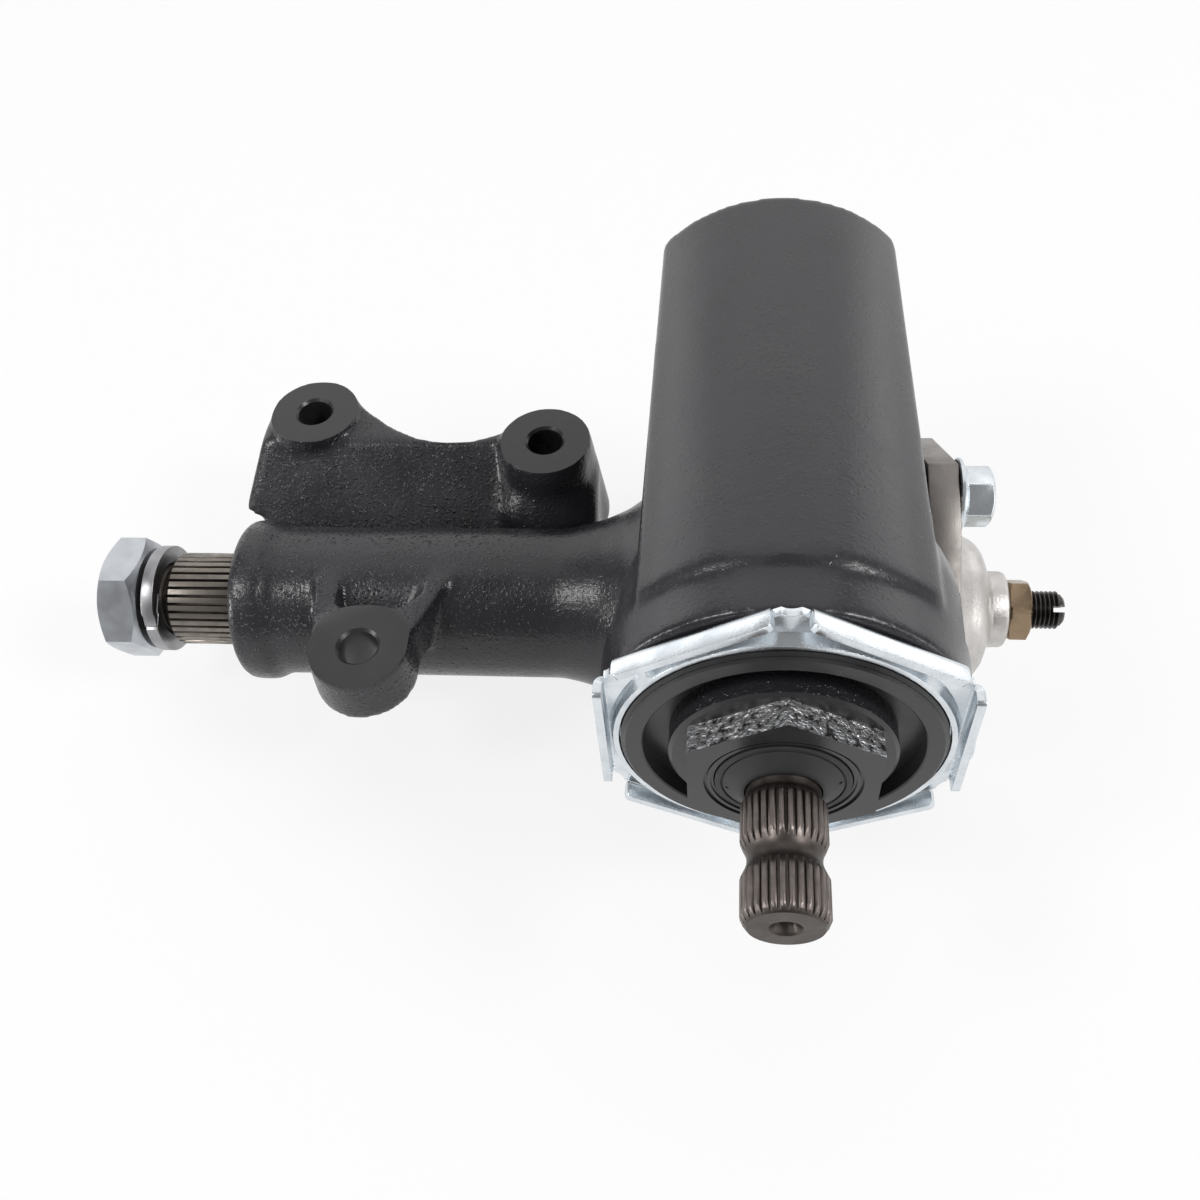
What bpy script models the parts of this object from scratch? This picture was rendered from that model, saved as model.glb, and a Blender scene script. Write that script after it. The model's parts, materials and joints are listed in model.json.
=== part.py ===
"""Recirculating-ball manual steering gearbox, modelled as separate pieces.

Frame: +Z is the normal of the three mounting faces, -Y is where the input shaft
points, -X is where the output (sector) shaft points. The origin is the bottom centre
of the whole gearbox. Lengths in the constants are millimetres and are turned into
metres by MM.
"""

import math

import bmesh
import bpy
from mathutils import Matrix, Vector

MM = 0.001

# Fits, on the radius: turning and threaded pieces, bolts in their holes
RUNNING_FIT = 0.3
BOLT_FIT = 0.35

# Overall placing of the two working axes in the part frame
WORM_AXIS_X = 59.45
WORM_FACE_Y = -57.1
WORM_AXIS_Z = 90.0
SECTOR_BACK = 79.5
SECTOR_DROP = 50.0

# Steering kinematics
STEERING_RATIO = 16.0
SECTOR_PITCH_R = 24.0
BALL_LEAD = 2.0 * math.pi * SECTOR_PITCH_R / STEERING_RATIO
BALL_CIRCLE_R = 13.3
BALL_R = 3.05
GROOVE_R = 4.2
PRESSURE_ANGLE = math.radians(25.0)
TOOTH_PITCH = 2.0 * math.pi * SECTOR_PITCH_R / 8.0
TOOTH_ADDENDUM = 4.0
TOOTH_DEDENDUM = 4.6
TOOTH_THINNING = 0.4

# Input and worm shaft
INPUT_SPLINE_R = 9.65
INPUT_SPLINE_ROOT_R = 8.6
INPUT_SPLINE_TEETH = 30
INPUT_TIP = 42.6
WORM_R = 12.7
WORM_START = 17.5
WORM_JOURNAL_R = 9.5
UPPER_BALLS = 11.0
LOWER_BALLS = 138.0
WORM_END = LOWER_BALLS - 6.5
UPPER_CUP_R = 19.5
LOWER_CUP_R = 19.7

# Output (sector) shaft
SECTOR_SPLINE_R = 14.2
SECTOR_SPLINE_ROOT_R = 13.1
SECTOR_SPLINE_TEETH = 36
SECTOR_JOURNAL_R = 14.1
SECTOR_THREAD_R = 11.05
SECTOR_FACE_HALF = 18.0
OUTPUT_SPLINE_LENGTH = 17.6
OUTPUT_THREAD_LENGTH = 16.3
SECTOR_INNER_END = 54.5
PITMAN_NUT_FLATS = 33.3
PITMAN_NUT_THICK = 12.2
PITMAN_WASHER_R = 16.4
PITMAN_WASHER_THICK = 3.7
PITMAN_SLACK = 2.1

# Worm housing barrel
BARREL_HALF_WIDTH = 34.0
BARREL_ARCH_R = 42.2
BARREL_BOTTOM = -37.0
BARREL_START = 21.0
BARREL_END = LOWER_BALLS + 13.0
BARREL_DRAFT = 1.5
CAVITY_START = 24.0
PLUG_THREAD_R = 37.1
MOUTH_R = PLUG_THREAD_R + 5.9
MOUTH_FACE = 7.3
PLUG_LENGTH = 22.0
HUB_FLATS = 43.0
HUB_FRONT = 8.5
LOCK_NUT_HALF_FLATS = PLUG_THREAD_R + 5.2
LOCK_NUT_BACK = 7.0
LOCK_NUT_SHEET = 2.0

# Sector tube and mounting bosses
TUBE_R = 22.5
GEAR_ROOM_R = 30.3
TUBE_END = 159.0
OUTPUT_SPLINE_START = TUBE_END + 4.0
OUTPUT_SPLINE_END = OUTPUT_SPLINE_START + OUTPUT_SPLINE_LENGTH
OUTPUT_THREAD_START = OUTPUT_SPLINE_END + 4.6
SECTOR_TIP = OUTPUT_THREAD_START + OUTPUT_THREAD_LENGTH
TUBE_BORE_R = 16.5
SEAL_SEAT_R = 19.0
SEAL_SEAT_START = 150.7
COLLAR_R = 24.5
CHAMBER_R = 38.5
BOSS_FACE_DROP = 27.3
BOSS_R = 14.3
BOSS_HOLE_R = 5.5
BOSS_SPOTS = ((-147.4, 139.3), (-70.3, 126.2), (-114.8, 46.3))
EAR_POCKET = ((-126.5, 81.0), (-97.5, 81.0), (-100.4, 66.2), (-104.5, 61.5), (-124.3, 61.2))

# Side cover, with bolt spots measured from the sector axis
COVER_INNER = 41.5
COVER_OUTER = 50.0
COVER_OUTLINE = ((-35.0, 12.0), (1.5, 37.7), (17.6, 43.0), (55.0, 15.5), (47.0, -24.0),
                 (28.0, -40.0), (-24.0, -40.0), (-40.0, -24.0))
COVER_BOLTS = ((15.3, 32.0), (-25.6, -28.2), (29.5, -25.0))
COVER_BOLT_R = 3.95
FILLER_SPOT = (0.0, -32.4)
FILLER_R = 4.8
FILLER_HEX = 12.7
COVER_HEX = 15.0
COVER_BOSS_R = 11.1
COVER_BOSS_END = 66.4

# Lash adjuster in the cover boss
LASH_R = 5.5
LASH_TIP = 84.0
LASH_HEAD_R = 7.9
LASH_HEAD_FACE = 47.2
JAM_NUT_FLATS = 16.4
JAM_NUT_FACE = 67.6
JAM_NUT_THICK = 5.8


def collection(name):
    """Return a new collection linked to the scene."""
    group = bpy.data.collections.new(name)
    bpy.context.scene.collection.children.link(group)
    return group


def clear_scene():
    """Remove every object that the scene starts with."""
    for item in list(bpy.data.objects):
        bpy.data.objects.remove(item, do_unlink=True)


def axis_empty(name, place):
    """Make an empty that marks a working axis, in millimetres."""
    empty = bpy.data.objects.new(name, None)
    empty.location = Vector(place) * MM
    empty.empty_display_size = 0.02
    PARTS.objects.link(empty)
    return empty


def material(name, colour, roughness, metallic):
    """Make a Principled material with one colour, roughness and metallic value."""
    made = bpy.data.materials.new(name)
    made.use_nodes = True
    shader = made.node_tree.nodes["Principled BSDF"]
    shader.inputs["Base Color"].default_value = (*colour, 1.0)
    shader.inputs["Roughness"].default_value = roughness
    shader.inputs["Metallic"].default_value = metallic
    made.diffuse_color = (*colour, 1.0)
    return made


def mesh_object(name, bm, group, parent=None):
    """Turn a bmesh in millimetres into a linked object."""
    bmesh.ops.scale(bm, vec=(MM, MM, MM), verts=bm.verts)
    mesh = bpy.data.meshes.new(name)
    bm.to_mesh(mesh)
    bm.free()
    item = bpy.data.objects.new(name, mesh)
    group.objects.link(item)
    if group is CUTTERS:
        item.hide_render = True
        item.display_type = "WIRE"
    item.parent = parent
    return item


def finish(item, look):
    """Give a piece its own material and smooth shading on its round faces."""
    item.data.materials.clear()
    item.data.materials.append(look)
    item.data.shade_smooth()
    item.data.set_sharp_from_angle(angle=math.radians(35.0))
    return item


def turned(name, outline, steps, group, parent, axis="Y"):
    """Turn a closed outline of (radius, height) about the parent's axis.

    Heights run towards the input tip (-Y) or towards the output end (-X).
    """
    bm = bmesh.new()
    points = [bm.verts.new((radius, 0.0, height)) for radius, height in outline]
    closed = all(radius > 1e-6 for radius, _ in outline)
    for one, two in zip(points, points[1:]):
        bm.edges.new((one, two))
    if closed:
        bm.edges.new((points[-1], points[0]))
    item = mesh_object(name, bm, group, parent)
    screw = item.modifiers.new("turn", "SCREW")
    screw.axis = "Z"
    screw.steps = steps
    screw.render_steps = steps
    screw.use_merge_vertices = True
    screw.merge_threshold = 0.00001
    item.rotation_euler = axis_turn(axis)
    return item


def axis_turn(axis):
    """Give the rotation that stands local +Z along -Y or along -X."""
    if axis == "Y":
        return (math.pi / 2.0, 0.0, 0.0)
    return (0.0, -math.pi / 2.0, 0.0)


def box(name, low, high, group, parent=None):
    """Make a box between two corners in millimetres."""
    bm = bmesh.new()
    bmesh.ops.create_cube(bm, size=1.0)
    size = Vector(high) - Vector(low)
    middle = (Vector(high) + Vector(low)) / 2.0
    bmesh.ops.scale(bm, vec=size, verts=bm.verts)
    bmesh.ops.translate(bm, vec=middle, verts=bm.verts)
    return mesh_object(name, bm, group, parent)


def cylinder(name, start, end, radius, sides, group, parent=None, end_radius=None, phase=0.0):
    """Make a straight or tapered cylinder between two points in millimetres."""
    start, end = Vector(start), Vector(end)
    along = end - start
    bm = bmesh.new()
    bmesh.ops.create_cone(
        bm, cap_ends=True, segments=sides, radius1=radius,
        radius2=radius if end_radius is None else end_radius, depth=along.length)
    bmesh.ops.rotate(bm, cent=(0, 0, 0), matrix=Matrix.Rotation(phase, 3, "Z"), verts=bm.verts)
    turn = Vector((0, 0, 1)).rotation_difference(along.normalized()).to_matrix()
    bmesh.ops.rotate(bm, cent=(0, 0, 0), matrix=turn, verts=bm.verts)
    bmesh.ops.translate(bm, vec=(start + end) / 2.0, verts=bm.verts)
    return mesh_object(name, bm, group, parent)


def plate(name, outline, place, axis, thickness, group, parent=None, end_scale=None):
    """Raise a flat outline into a plate along X, Y or Z.

    The outline holds pairs of the two other coordinates, and the plate runs from
    place to place plus thickness. end_scale narrows the far face about the axis.
    """
    bm = bmesh.new()
    rings = []
    for step, shrink in ((0.0, 1.0), (thickness, end_scale or 1.0)):
        ring = []
        for one, two in outline:
            if axis == "X":
                spot = (place + step, one * shrink, two * shrink)
            elif axis == "Y":
                spot = (one * shrink, place + step, two * shrink)
            else:
                spot = (one * shrink, two * shrink, place + step)
            ring.append(bm.verts.new(spot))
        rings.append(ring)
    bottom = bm.faces.new(rings[0])
    top = bm.faces.new(rings[1])
    bmesh.ops.bridge_loops(bm, edges=list(bottom.edges) + list(top.edges))
    bmesh.ops.recalc_face_normals(bm, faces=bm.faces)
    return mesh_object(name, bm, group, parent)


def ring_loft(name, rings, group, parent, axis="Y"):
    """Join rings of equal point count, each a height and a list of radii.

    The heights run the way turned() counts them.
    """
    bm = bmesh.new()
    loops = []
    for height, radii in rings:
        count = len(radii)
        loop = []
        for index, radius in enumerate(radii):
            angle = 2.0 * math.pi * index / count
            loop.append(bm.verts.new((radius * math.cos(angle), radius * math.sin(angle), height)))
        loops.append(loop)
    bm.faces.new(loops[0])
    bm.faces.new(loops[-1])
    for lower, upper in zip(loops, loops[1:]):
        count = len(lower)
        for index in range(count):
            after = (index + 1) % count
            bm.faces.new((lower[index], lower[after], upper[after], upper[index]))
    bmesh.ops.recalc_face_normals(bm, faces=bm.faces)
    item = mesh_object(name, bm, group, parent)
    item.rotation_euler = axis_turn(axis)
    return item


def rod(name, points, radius, resolution, group, parent=None):
    """Make a round bar along points in millimetres, as a closed mesh."""
    curve = bpy.data.curves.new(name, "CURVE")
    curve.dimensions = "3D"
    spline = curve.splines.new("POLY")
    spline.points.add(len(points) - 1)
    for point, place in zip(spline.points, points):
        point.co = (*(Vector(place) * MM), 1.0)
    curve.bevel_depth = radius * MM
    curve.bevel_resolution = resolution
    curve.use_fill_caps = True
    wire = bpy.data.objects.new(name + "_wire", curve)
    group.objects.link(wire)
    wire.parent = parent
    bpy.context.view_layer.update()
    graph = bpy.context.evaluated_depsgraph_get()
    mesh = bpy.data.meshes.new_from_object(wire.evaluated_get(graph))
    bm = bmesh.new()
    bm.from_mesh(mesh)
    bmesh.ops.remove_doubles(bm, verts=bm.verts, dist=0.000005)
    bmesh.ops.recalc_face_normals(bm, faces=bm.faces)
    bm.to_mesh(mesh)
    bm.free()
    mesh.name = name
    item = bpy.data.objects.new(name, mesh)
    group.objects.link(item)
    item.parent = parent
    if group is CUTTERS:
        item.hide_render = True
        item.display_type = "WIRE"
    bpy.data.objects.remove(wire, do_unlink=True)
    return item


def combine(item, other, operation):
    """Add an exact boolean between a piece and another mesh."""
    step = item.modifiers.new(operation.lower() + "_" + other.name, "BOOLEAN")
    step.operation = operation
    step.solver = "EXACT"
    step.object = other
    return item


def join(item, *others):
    """Unite a piece with the other solids."""
    for other in others:
        combine(item, other, "UNION")
    return item


def cut(item, *others):
    """Cut the other solids out of a piece."""
    for other in others:
        combine(item, other, "DIFFERENCE")
    return item


def hexagon(across_flats, turn=0.0):
    """List the corners of a hexagon; the first lies on the first axis at no turn."""
    radius = across_flats / math.sqrt(3.0)
    spots = []
    for index in range(6):
        angle = turn + index * math.pi / 3.0
        spots.append((radius * math.cos(angle), radius * math.sin(angle)))
    return spots


def helix(centre_y, low_y, high_y, per_turn):
    """List points of the ball path about the worm axis, in the worm frame."""
    turns_low = (low_y - centre_y) / BALL_LEAD
    turns_high = (high_y - centre_y) / BALL_LEAD
    count = int(math.ceil((turns_high - turns_low) * per_turn)) + 1
    points = []
    for index in range(count):
        turn = turns_low + (turns_high - turns_low) * index / (count - 1)
        points.append(ball_place(centre_y, turn))
    return points


def ball_place(centre_y, turn):
    """Place a ball centre after a number of turns from the nut's middle."""
    angle = 2.0 * math.pi * turn
    return (BALL_CIRCLE_R * math.cos(angle), centre_y + BALL_LEAD * turn,
            BALL_CIRCLE_R * math.sin(angle))


def sector_to_worm(spot):
    """Turn an outline spot about the sector axis into worm-frame Y and Z."""
    return (spot[0] + SECTOR_BACK, spot[1] - SECTOR_DROP)


def barrel_outline(half_width, arch_r, bottom, steps=12):
    """Outline of the barrel section: flat sides under an arched top."""
    corner = math.acos(half_width / arch_r)
    spots = [(-half_width + 6.0, bottom), (half_width - 6.0, bottom),
             (half_width, bottom + 6.0)]
    for index in range(steps + 1):
        angle = corner + (math.pi - 2.0 * corner) * index / steps
        spots.append((arch_r * math.cos(angle), arch_r * math.sin(angle)))
    spots.append((-half_width, bottom + 6.0))
    return spots


def housing():
    """Cast gear housing: worm barrel, sector tube, mounting bosses and cover pad."""
    shrink = 1.0 - BARREL_DRAFT / BARREL_HALF_WIDTH
    body = plate("housing", barrel_outline(BARREL_HALF_WIDTH, BARREL_ARCH_R + 2.4, BARREL_BOTTOM),
                 BARREL_START, "Y", BARREL_END - BARREL_START, PARTS, WORM, end_scale=shrink)
    mouth = turned("housing_mouth", ((0.0, -MOUTH_FACE), (MOUTH_R, -MOUTH_FACE), (MOUTH_R, -20.0),
                                     (MOUTH_R - 1.5, -26.0), (MOUTH_R - 6.5, -44.0),
                                     (MOUTH_R - 10.0, -60.0), (0.0, -60.0)),
                   32, CUTTERS, WORM)
    chamber = cylinder("housing_chamber", (-32.0, SECTOR_BACK, -SECTOR_DROP),
                       (COVER_INNER - 1.3, SECTOR_BACK, -SECTOR_DROP), CHAMBER_R, 28, CUTTERS, WORM)
    pad_outline = [sector_to_worm((y * 0.97, z * 0.97)) for y, z in COVER_OUTLINE]
    pad = plate("housing_cover_pad", pad_outline, 22.0, "X", COVER_INNER - 23.3, CUTTERS, WORM)
    tube = turned("housing_tube", ((0.0, TUBE_END), (COLLAR_R - 1.1, TUBE_END),
                                   (COLLAR_R, TUBE_END - 1.5), (COLLAR_R, TUBE_END - 9.0),
                                   (TUBE_R, TUBE_END - 11.0), (TUBE_R, 62.0),
                                   (23.6, 56.0), (25.6, 49.0), (28.6, 42.0),
                                   (34.0, 35.0), (34.0, 28.0), (0.0, 28.0)), 28, CUTTERS,
                  SECTOR, "X")
    join(body, mouth, chamber, pad, tube, *housing_bosses())
    cut(body, *housing_hollows())
    return finish(body, material("housing_paint", (0.022, 0.022, 0.024), 0.38, 0.0))


def housing_bosses():
    """Mounting bosses, the wall between them and the ribbed third ear."""
    face = -BOSS_FACE_DROP
    solids = []
    for index, (x, y) in enumerate(BOSS_SPOTS[:2]):
        solids.append(cylinder("boss_%d" % (index + 1), (x, y, face), (x, y, -62.0), BOSS_R, 24,
                               CUTTERS, WORM, end_radius=BOSS_R + 3.0))
    web = ((-162.6, 139.0), (-163.0, 129.0), (-163.0, 106.0), (-158.8, 104.0), (-158.3, 88.0),
           (-60.0, 88.0), (-57.0, 100.0), (-56.3, 128.0), (-70.0, 140.0), (-84.0, 133.0),
           (-95.0, 129.0), (-103.0, 128.5), (-112.0, 130.2), (-122.0, 135.6), (-133.0, 144.6),
           (-147.0, 153.0))
    solids.append(plate("boss_web", web, -62.0, "Z", 32.5, CUTTERS, WORM))
    ear = ((-129.1, 47.0), (-131.8, 64.0), (-133.2, 84.0), (-88.5, 84.0), (-90.5, 77.0),
           (-100.6, 50.0), (-101.2, 41.5))
    solids.append(plate("ear_plate", ear, -42.0, "Z", 14.2, CUTTERS, WORM))
    x, y = BOSS_SPOTS[2]
    solids.append(cylinder("boss_3", (x, y, face), (x, y, -42.5), BOSS_R, 24, CUTTERS, WORM,
                           end_radius=BOSS_R + 0.7))
    return solids


def housing_hollows():
    """Everything that is cut out of the housing."""
    slope = ((128.0, -26.0), (128.0, -29.8), (101.0, -56.0), (85.0, -56.0), (85.0, -26.0))
    trough = plate("boss_slope", slope, -158.6, "X", 84.6, CUTTERS, WORM)
    keep = turned("tube_keep", ((0.0, 162.0), (TUBE_R - 0.3, 162.0), (TUBE_R - 0.3, 40.0),
                                (0.0, 40.0)), 28, CUTTERS, SECTOR, "X")
    cut(trough, keep)
    column = cylinder("column_keep", (-70.3, 126.2, -20.0), (-70.3, 126.2, -62.0), 14.0, 32,
                      CUTTERS, WORM, end_radius=17.4)
    cut(trough, column)
    pocket = plate("ear_pocket", EAR_POCKET, -37.0, "Z", 12.0, CUTTERS, WORM)
    cut(pocket, keep)
    thread_bore = PLUG_THREAD_R + RUNNING_FIT
    cup_bore = LOWER_CUP_R + RUNNING_FIT
    cup_seat = LOWER_BALLS - 3.8
    bore = turned("worm_bore", ((0.0, -5.0), (thread_bore, -5.0), (thread_bore, -25.0),
                                (26.0, -25.2), (26.0, -cup_seat), (cup_bore, -cup_seat),
                                (cup_bore, -LOWER_BALLS - 6.5), (0.0, -LOWER_BALLS - 6.5)),
                  28, CUTTERS, WORM)
    cavity = plate("worm_cavity", barrel_outline(26.0, 35.5, -32.0), CAVITY_START, "Y",
                   LOWER_BALLS - 4.0 - CAVITY_START, CUTTERS, WORM)
    gear_room = turned("sector_bore", ((0.0, TUBE_END + 6.0), (SEAL_SEAT_R, TUBE_END + 6.0),
                                       (SEAL_SEAT_R, SEAL_SEAT_START),
                                       (TUBE_BORE_R, SEAL_SEAT_START),
                                       (TUBE_BORE_R, SECTOR_FACE_HALF + 4.0),
                                       (GEAR_ROOM_R, SECTOR_FACE_HALF + 4.0),
                                       (GEAR_ROOM_R, -45.0), (0.0, -45.0)),
                       32, CUTTERS, SECTOR, "X")
    tools = [trough, pocket, bore, cavity, gear_room]
    for index, (x, y) in enumerate(BOSS_SPOTS):
        tools.append(cylinder("boss_hole_%d" % (index + 1), (x, y, -20.0), (x, y, -70.0),
                              BOSS_HOLE_R, 16, CUTTERS, WORM))
    for index, spot in enumerate(COVER_BOLTS):
        y, z = sector_to_worm(spot)
        tools.append(cylinder("bolt_hole_%d" % (index + 1), (27.0, y, z), (45.0, y, z),
                              COVER_BOLT_R + BOLT_FIT, 16,
                              CUTTERS, WORM))
    return tools


def worm_bearing_adjuster():
    """Threaded plug that sets the worm bearings, with a hexagonal hub."""
    cup_bore = UPPER_CUP_R + RUNNING_FIT
    plug = turned("worm_bearing_adjuster",
                  ((32.0, 0.0), (36.3, 0.0), (PLUG_THREAD_R, -0.8), (PLUG_THREAD_R, -PLUG_LENGTH),
                   (cup_bore, -PLUG_LENGTH), (cup_bore, 6.3 - UPPER_BALLS),
                   (10.2, 6.3 - UPPER_BALLS), (10.2, 2.0), (26.0, 2.0),
                   (26.0, -5.0), (32.0, -5.0)), 32, PARTS, WORM)
    hub = plate("plug_hub", hexagon(HUB_FLATS, math.pi / 2.0), -HUB_FRONT, "Y",
                HUB_FRONT + 0.5, CUTTERS, WORM)
    join(plug, hub)
    seat = turned("plug_seal_seat", ((0.0, HUB_FRONT + 1.0), (17.8, HUB_FRONT + 1.0),
                                     (17.8, HUB_FRONT - 0.7), (15.6, HUB_FRONT - 0.7),
                                     (15.6, -1.0), (10.2, -1.0), (10.2, -6.0), (0.0, -6.0)),
                  24, CUTTERS, WORM)
    cut(plug, seat)
    return finish(plug, material("plug_cast", (0.025, 0.025, 0.027), 0.45, 0.0))


def adjuster_lock_nut():
    """Pressed hexagonal sheet nut with six turned-up flanges and open corners."""
    turn = math.pi / 2.0
    nut = plate("adjuster_lock_nut", hexagon(2.0 * LOCK_NUT_HALF_FLATS, turn), 1.0, "Y",
                LOCK_NUT_BACK - 1.0, PARTS, WORM)
    room = plate("nut_room", hexagon(2.0 * (LOCK_NUT_HALF_FLATS - LOCK_NUT_SHEET), turn),
                 0.0, "Y", LOCK_NUT_BACK - LOCK_NUT_SHEET, CUTTERS, WORM)
    hole = cylinder("nut_hole", (0, 0.0, 0), (0, 9.0, 0), PLUG_THREAD_R + BOLT_FIT, 40,
                    CUTTERS, WORM)
    cut(nut, room, hole)
    notch_floor = LOCK_NUT_HALF_FLATS + 1.3
    tongue_tip = LOCK_NUT_HALF_FLATS + 4.3
    beyond = LOCK_NUT_HALF_FLATS + 9.7
    for index in range(6):
        angle = turn + index * math.pi / 3.0
        notch = box("nut_notch_%d" % (index + 1), (notch_floor, -1.0, -4.2), (beyond, 5.2, 4.2),
                    CUTTERS, WORM)
        notch.rotation_euler = (0.0, -angle, 0.0)
        tip = box("nut_corner_%d" % (index + 1), (tongue_tip, -1.0, -6.0), (beyond, 9.0, 6.0),
                  CUTTERS, WORM)
        tip.rotation_euler = (0.0, -angle, 0.0)
        cut(nut, notch, tip)
    return finish(nut, material("lock_nut_zinc", (0.62, 0.66, 0.70), 0.3, 1.0))


def input_seal():
    """Rubber lip seal around the input shaft."""
    seal = turned("input_seal", ((8.75, 11.0), (9.9, 11.0), (13.8, 8.6), (15.3, 8.4),
                                 (15.3, -0.7), (9.8, -0.7), (9.8, 6.6), (8.75, 8.2)),
                  28, PARTS, WORM)
    return finish(seal, material("seal_rubber", (0.02, 0.02, 0.02), 0.55, 0.0))


def splined_band(name, start, end, root_r, tip_r, teeth, parent, axis):
    """Make a splined length whose teeth run out at both ends, for joining to a shaft."""
    count = teeth * 2
    toothed = [tip_r if index % 2 else root_r for index in range(count)]
    plain = [root_r] * count
    rings = [(start - 1.6, plain), (start, toothed), (end, toothed), (end + 1.6, plain)]
    return ring_loft(name, rings, CUTTERS, parent, axis)


def worm_shaft():
    """Input shaft with two splined lengths, a clamp groove and the ball worm."""
    root = INPUT_SPLINE_ROOT_R
    shaft = turned("worm_shaft", ((0.0, INPUT_TIP), (7.8, INPUT_TIP), (root - 0.05, 41.6),
                                  (root - 0.05, 31.4), (8.2, 28.6), (8.2, 26.8),
                                  (root - 0.05, 24.4), (root - 0.05, 14.2), (8.4, 13.8),
                                  (8.4, 6.2), (WORM_JOURNAL_R, 5.9),
                                  (WORM_JOURNAL_R, 1.0 - UPPER_BALLS), (WORM_R, -WORM_START),
                                  (WORM_R, -WORM_END), (WORM_JOURNAL_R, -LOWER_BALLS - 1.0),
                                  (WORM_JOURNAL_R, -LOWER_BALLS - 5.5),
                                  (0.0, -LOWER_BALLS - 5.5)), 20, PARTS, WORM)
    groove = rod("worm_groove", helix(SECTOR_BACK, WORM_START + 23.5, WORM_END - 13.5, 10),
                 GROOVE_R, 1, CUTTERS, WORM)
    cut(shaft, groove)
    for index, (start, end) in enumerate(((15.4, 23.4), (32.4, 40.8))):
        join(shaft, splined_band("input_spline_%d" % (index + 1), start, end, root,
                                 INPUT_SPLINE_R, INPUT_SPLINE_TEETH, WORM, "Y"))
    centre = turned("centre_drill", ((0.0, 43.0), (3.6, 43.0), (2.6, 40.5), (0.0, 36.5)), 12,
                    CUTTERS, WORM)
    cut(shaft, centre)
    return finish(shaft, material("worm_steel", (0.24, 0.22, 0.20), 0.38, 1.0))


def worm_bearings():
    """Bearing cups and caged ball sets at the two ends of the worm."""
    steel = (0.45, 0.45, 0.46)
    upper_cup = turned("upper_bearing_cup", ((13.0, 5.4 - UPPER_BALLS), (13.0, 6.0 - UPPER_BALLS),
                                             (UPPER_CUP_R, 6.0 - UPPER_BALLS),
                                             (UPPER_CUP_R, -UPPER_BALLS - 2.5),
                                             (17.3, -UPPER_BALLS - 2.5),
                                             (17.3, 1.1 - UPPER_BALLS)),
                       24, PARTS, WORM)
    finish(upper_cup, material("upper_cup_steel", steel, 0.3, 1.0))
    lower_cup = turned("lower_bearing_cup", ((17.3, -LOWER_BALLS - 1.1), (17.3, 2.5 - LOWER_BALLS),
                                             (LOWER_CUP_R, 2.5 - LOWER_BALLS),
                                             (LOWER_CUP_R, -LOWER_BALLS - 6.0),
                                             (13.0, -LOWER_BALLS - 6.0),
                                             (13.0, -LOWER_BALLS - 5.4)),
                       24, PARTS, WORM)
    finish(lower_cup, material("lower_cup_steel", steel, 0.3, 1.0))
    for name, place in (("upper_bearing_balls", UPPER_BALLS), ("lower_bearing_balls", LOWER_BALLS)):
        cage = turned(name, ((12.9, 2.0 - place), (14.3, 2.0 - place), (14.3, -2.0 - place),
                             (12.9, -2.0 - place)), 20, PARTS, WORM)
        for index in range(10):
            angle = 2.0 * math.pi * index / 10.0
            bm = bmesh.new()
            bmesh.ops.create_icosphere(bm, subdivisions=1, radius=BALL_R)
            spot = (13.6 * math.cos(angle), place, 13.6 * math.sin(angle))
            bmesh.ops.translate(bm, vec=spot, verts=bm.verts)
            ball = mesh_object("%s_%d" % (name, index + 1), bm, CUTTERS, WORM)
            join(cage, ball)
        finish(cage, material(name + "_steel", (0.5, 0.5, 0.5), 0.25, 1.0))


def rack_outline():
    """Side outline of the ball nut: flat top and four rack teeth underneath."""
    pitch_z = -(SECTOR_DROP - SECTOR_PITCH_R)
    tip = pitch_z - TOOTH_ADDENDUM
    root = pitch_z + TOOTH_DEDENDUM
    half = TOOTH_PITCH / 4.0 - TOOTH_THINNING / 2.0
    tip_half = half - TOOTH_ADDENDUM * math.tan(PRESSURE_ANGLE)
    root_half = half + TOOTH_DEDENDUM * math.tan(PRESSURE_ANGLE)
    outline = [(-32.0, 19.0), (-32.0, tip)]
    for index in range(4):
        middle = (index - 1.5) * TOOTH_PITCH
        if index:
            outline.append((middle - root_half, root))
            outline.append((middle - tip_half, tip))
        if index < 3:
            outline.append((middle + tip_half, tip))
            outline.append((middle + root_half, root))
    outline += [(32.0, tip), (32.0, 19.0)]
    return [(y + SECTOR_BACK, z) for y, z in outline]


def ball_nut():
    """Ball nut with a grooved bore, guide holes and rack teeth below."""
    nut = plate("ball_nut", rack_outline(), -20.0, "X", 40.0, PARTS, NUT)
    bore = cylinder("ball_nut_bore", (0, 40.0, 0), (0, 120.0, 0), 13.3, 16, CUTTERS, WORM)
    groove = rod("ball_nut_groove", helix(SECTOR_BACK, SECTOR_BACK - 27.8, SECTOR_BACK + 27.8, 10),
                 GROOVE_R, 1, CUTTERS, WORM)
    cut(nut, bore, groove)
    for index, (x, y) in enumerate(guide_ends()):
        hole = cylinder("guide_hole_%d" % (index + 1), (x, y, 4.0), (x, y, 26.0), 4.9, 16,
                        CUTTERS, WORM)
        cut(nut, hole)
    for index, x in enumerate((-5.0, 5.0)):
        hole = cylinder("clamp_hole_%d" % (index + 1), (x, SECTOR_BACK, 18.1),
                        (x, SECTOR_BACK, 26.0), 2.4, 12, CUTTERS, WORM)
        cut(nut, hole)
    return finish(nut, material("ball_nut_steel", (0.34, 0.33, 0.32), 0.35, 1.0))


def guide_ends():
    """Where the two return guides enter the nut: right and left end of each."""
    span = 2.5 * BALL_LEAD
    ends = []
    for start in (-27.8, 4.2):
        ends.append((BALL_CIRCLE_R, SECTOR_BACK + start))
        ends.append((-BALL_CIRCLE_R, SECTOR_BACK + start + span))
    return ends


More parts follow.
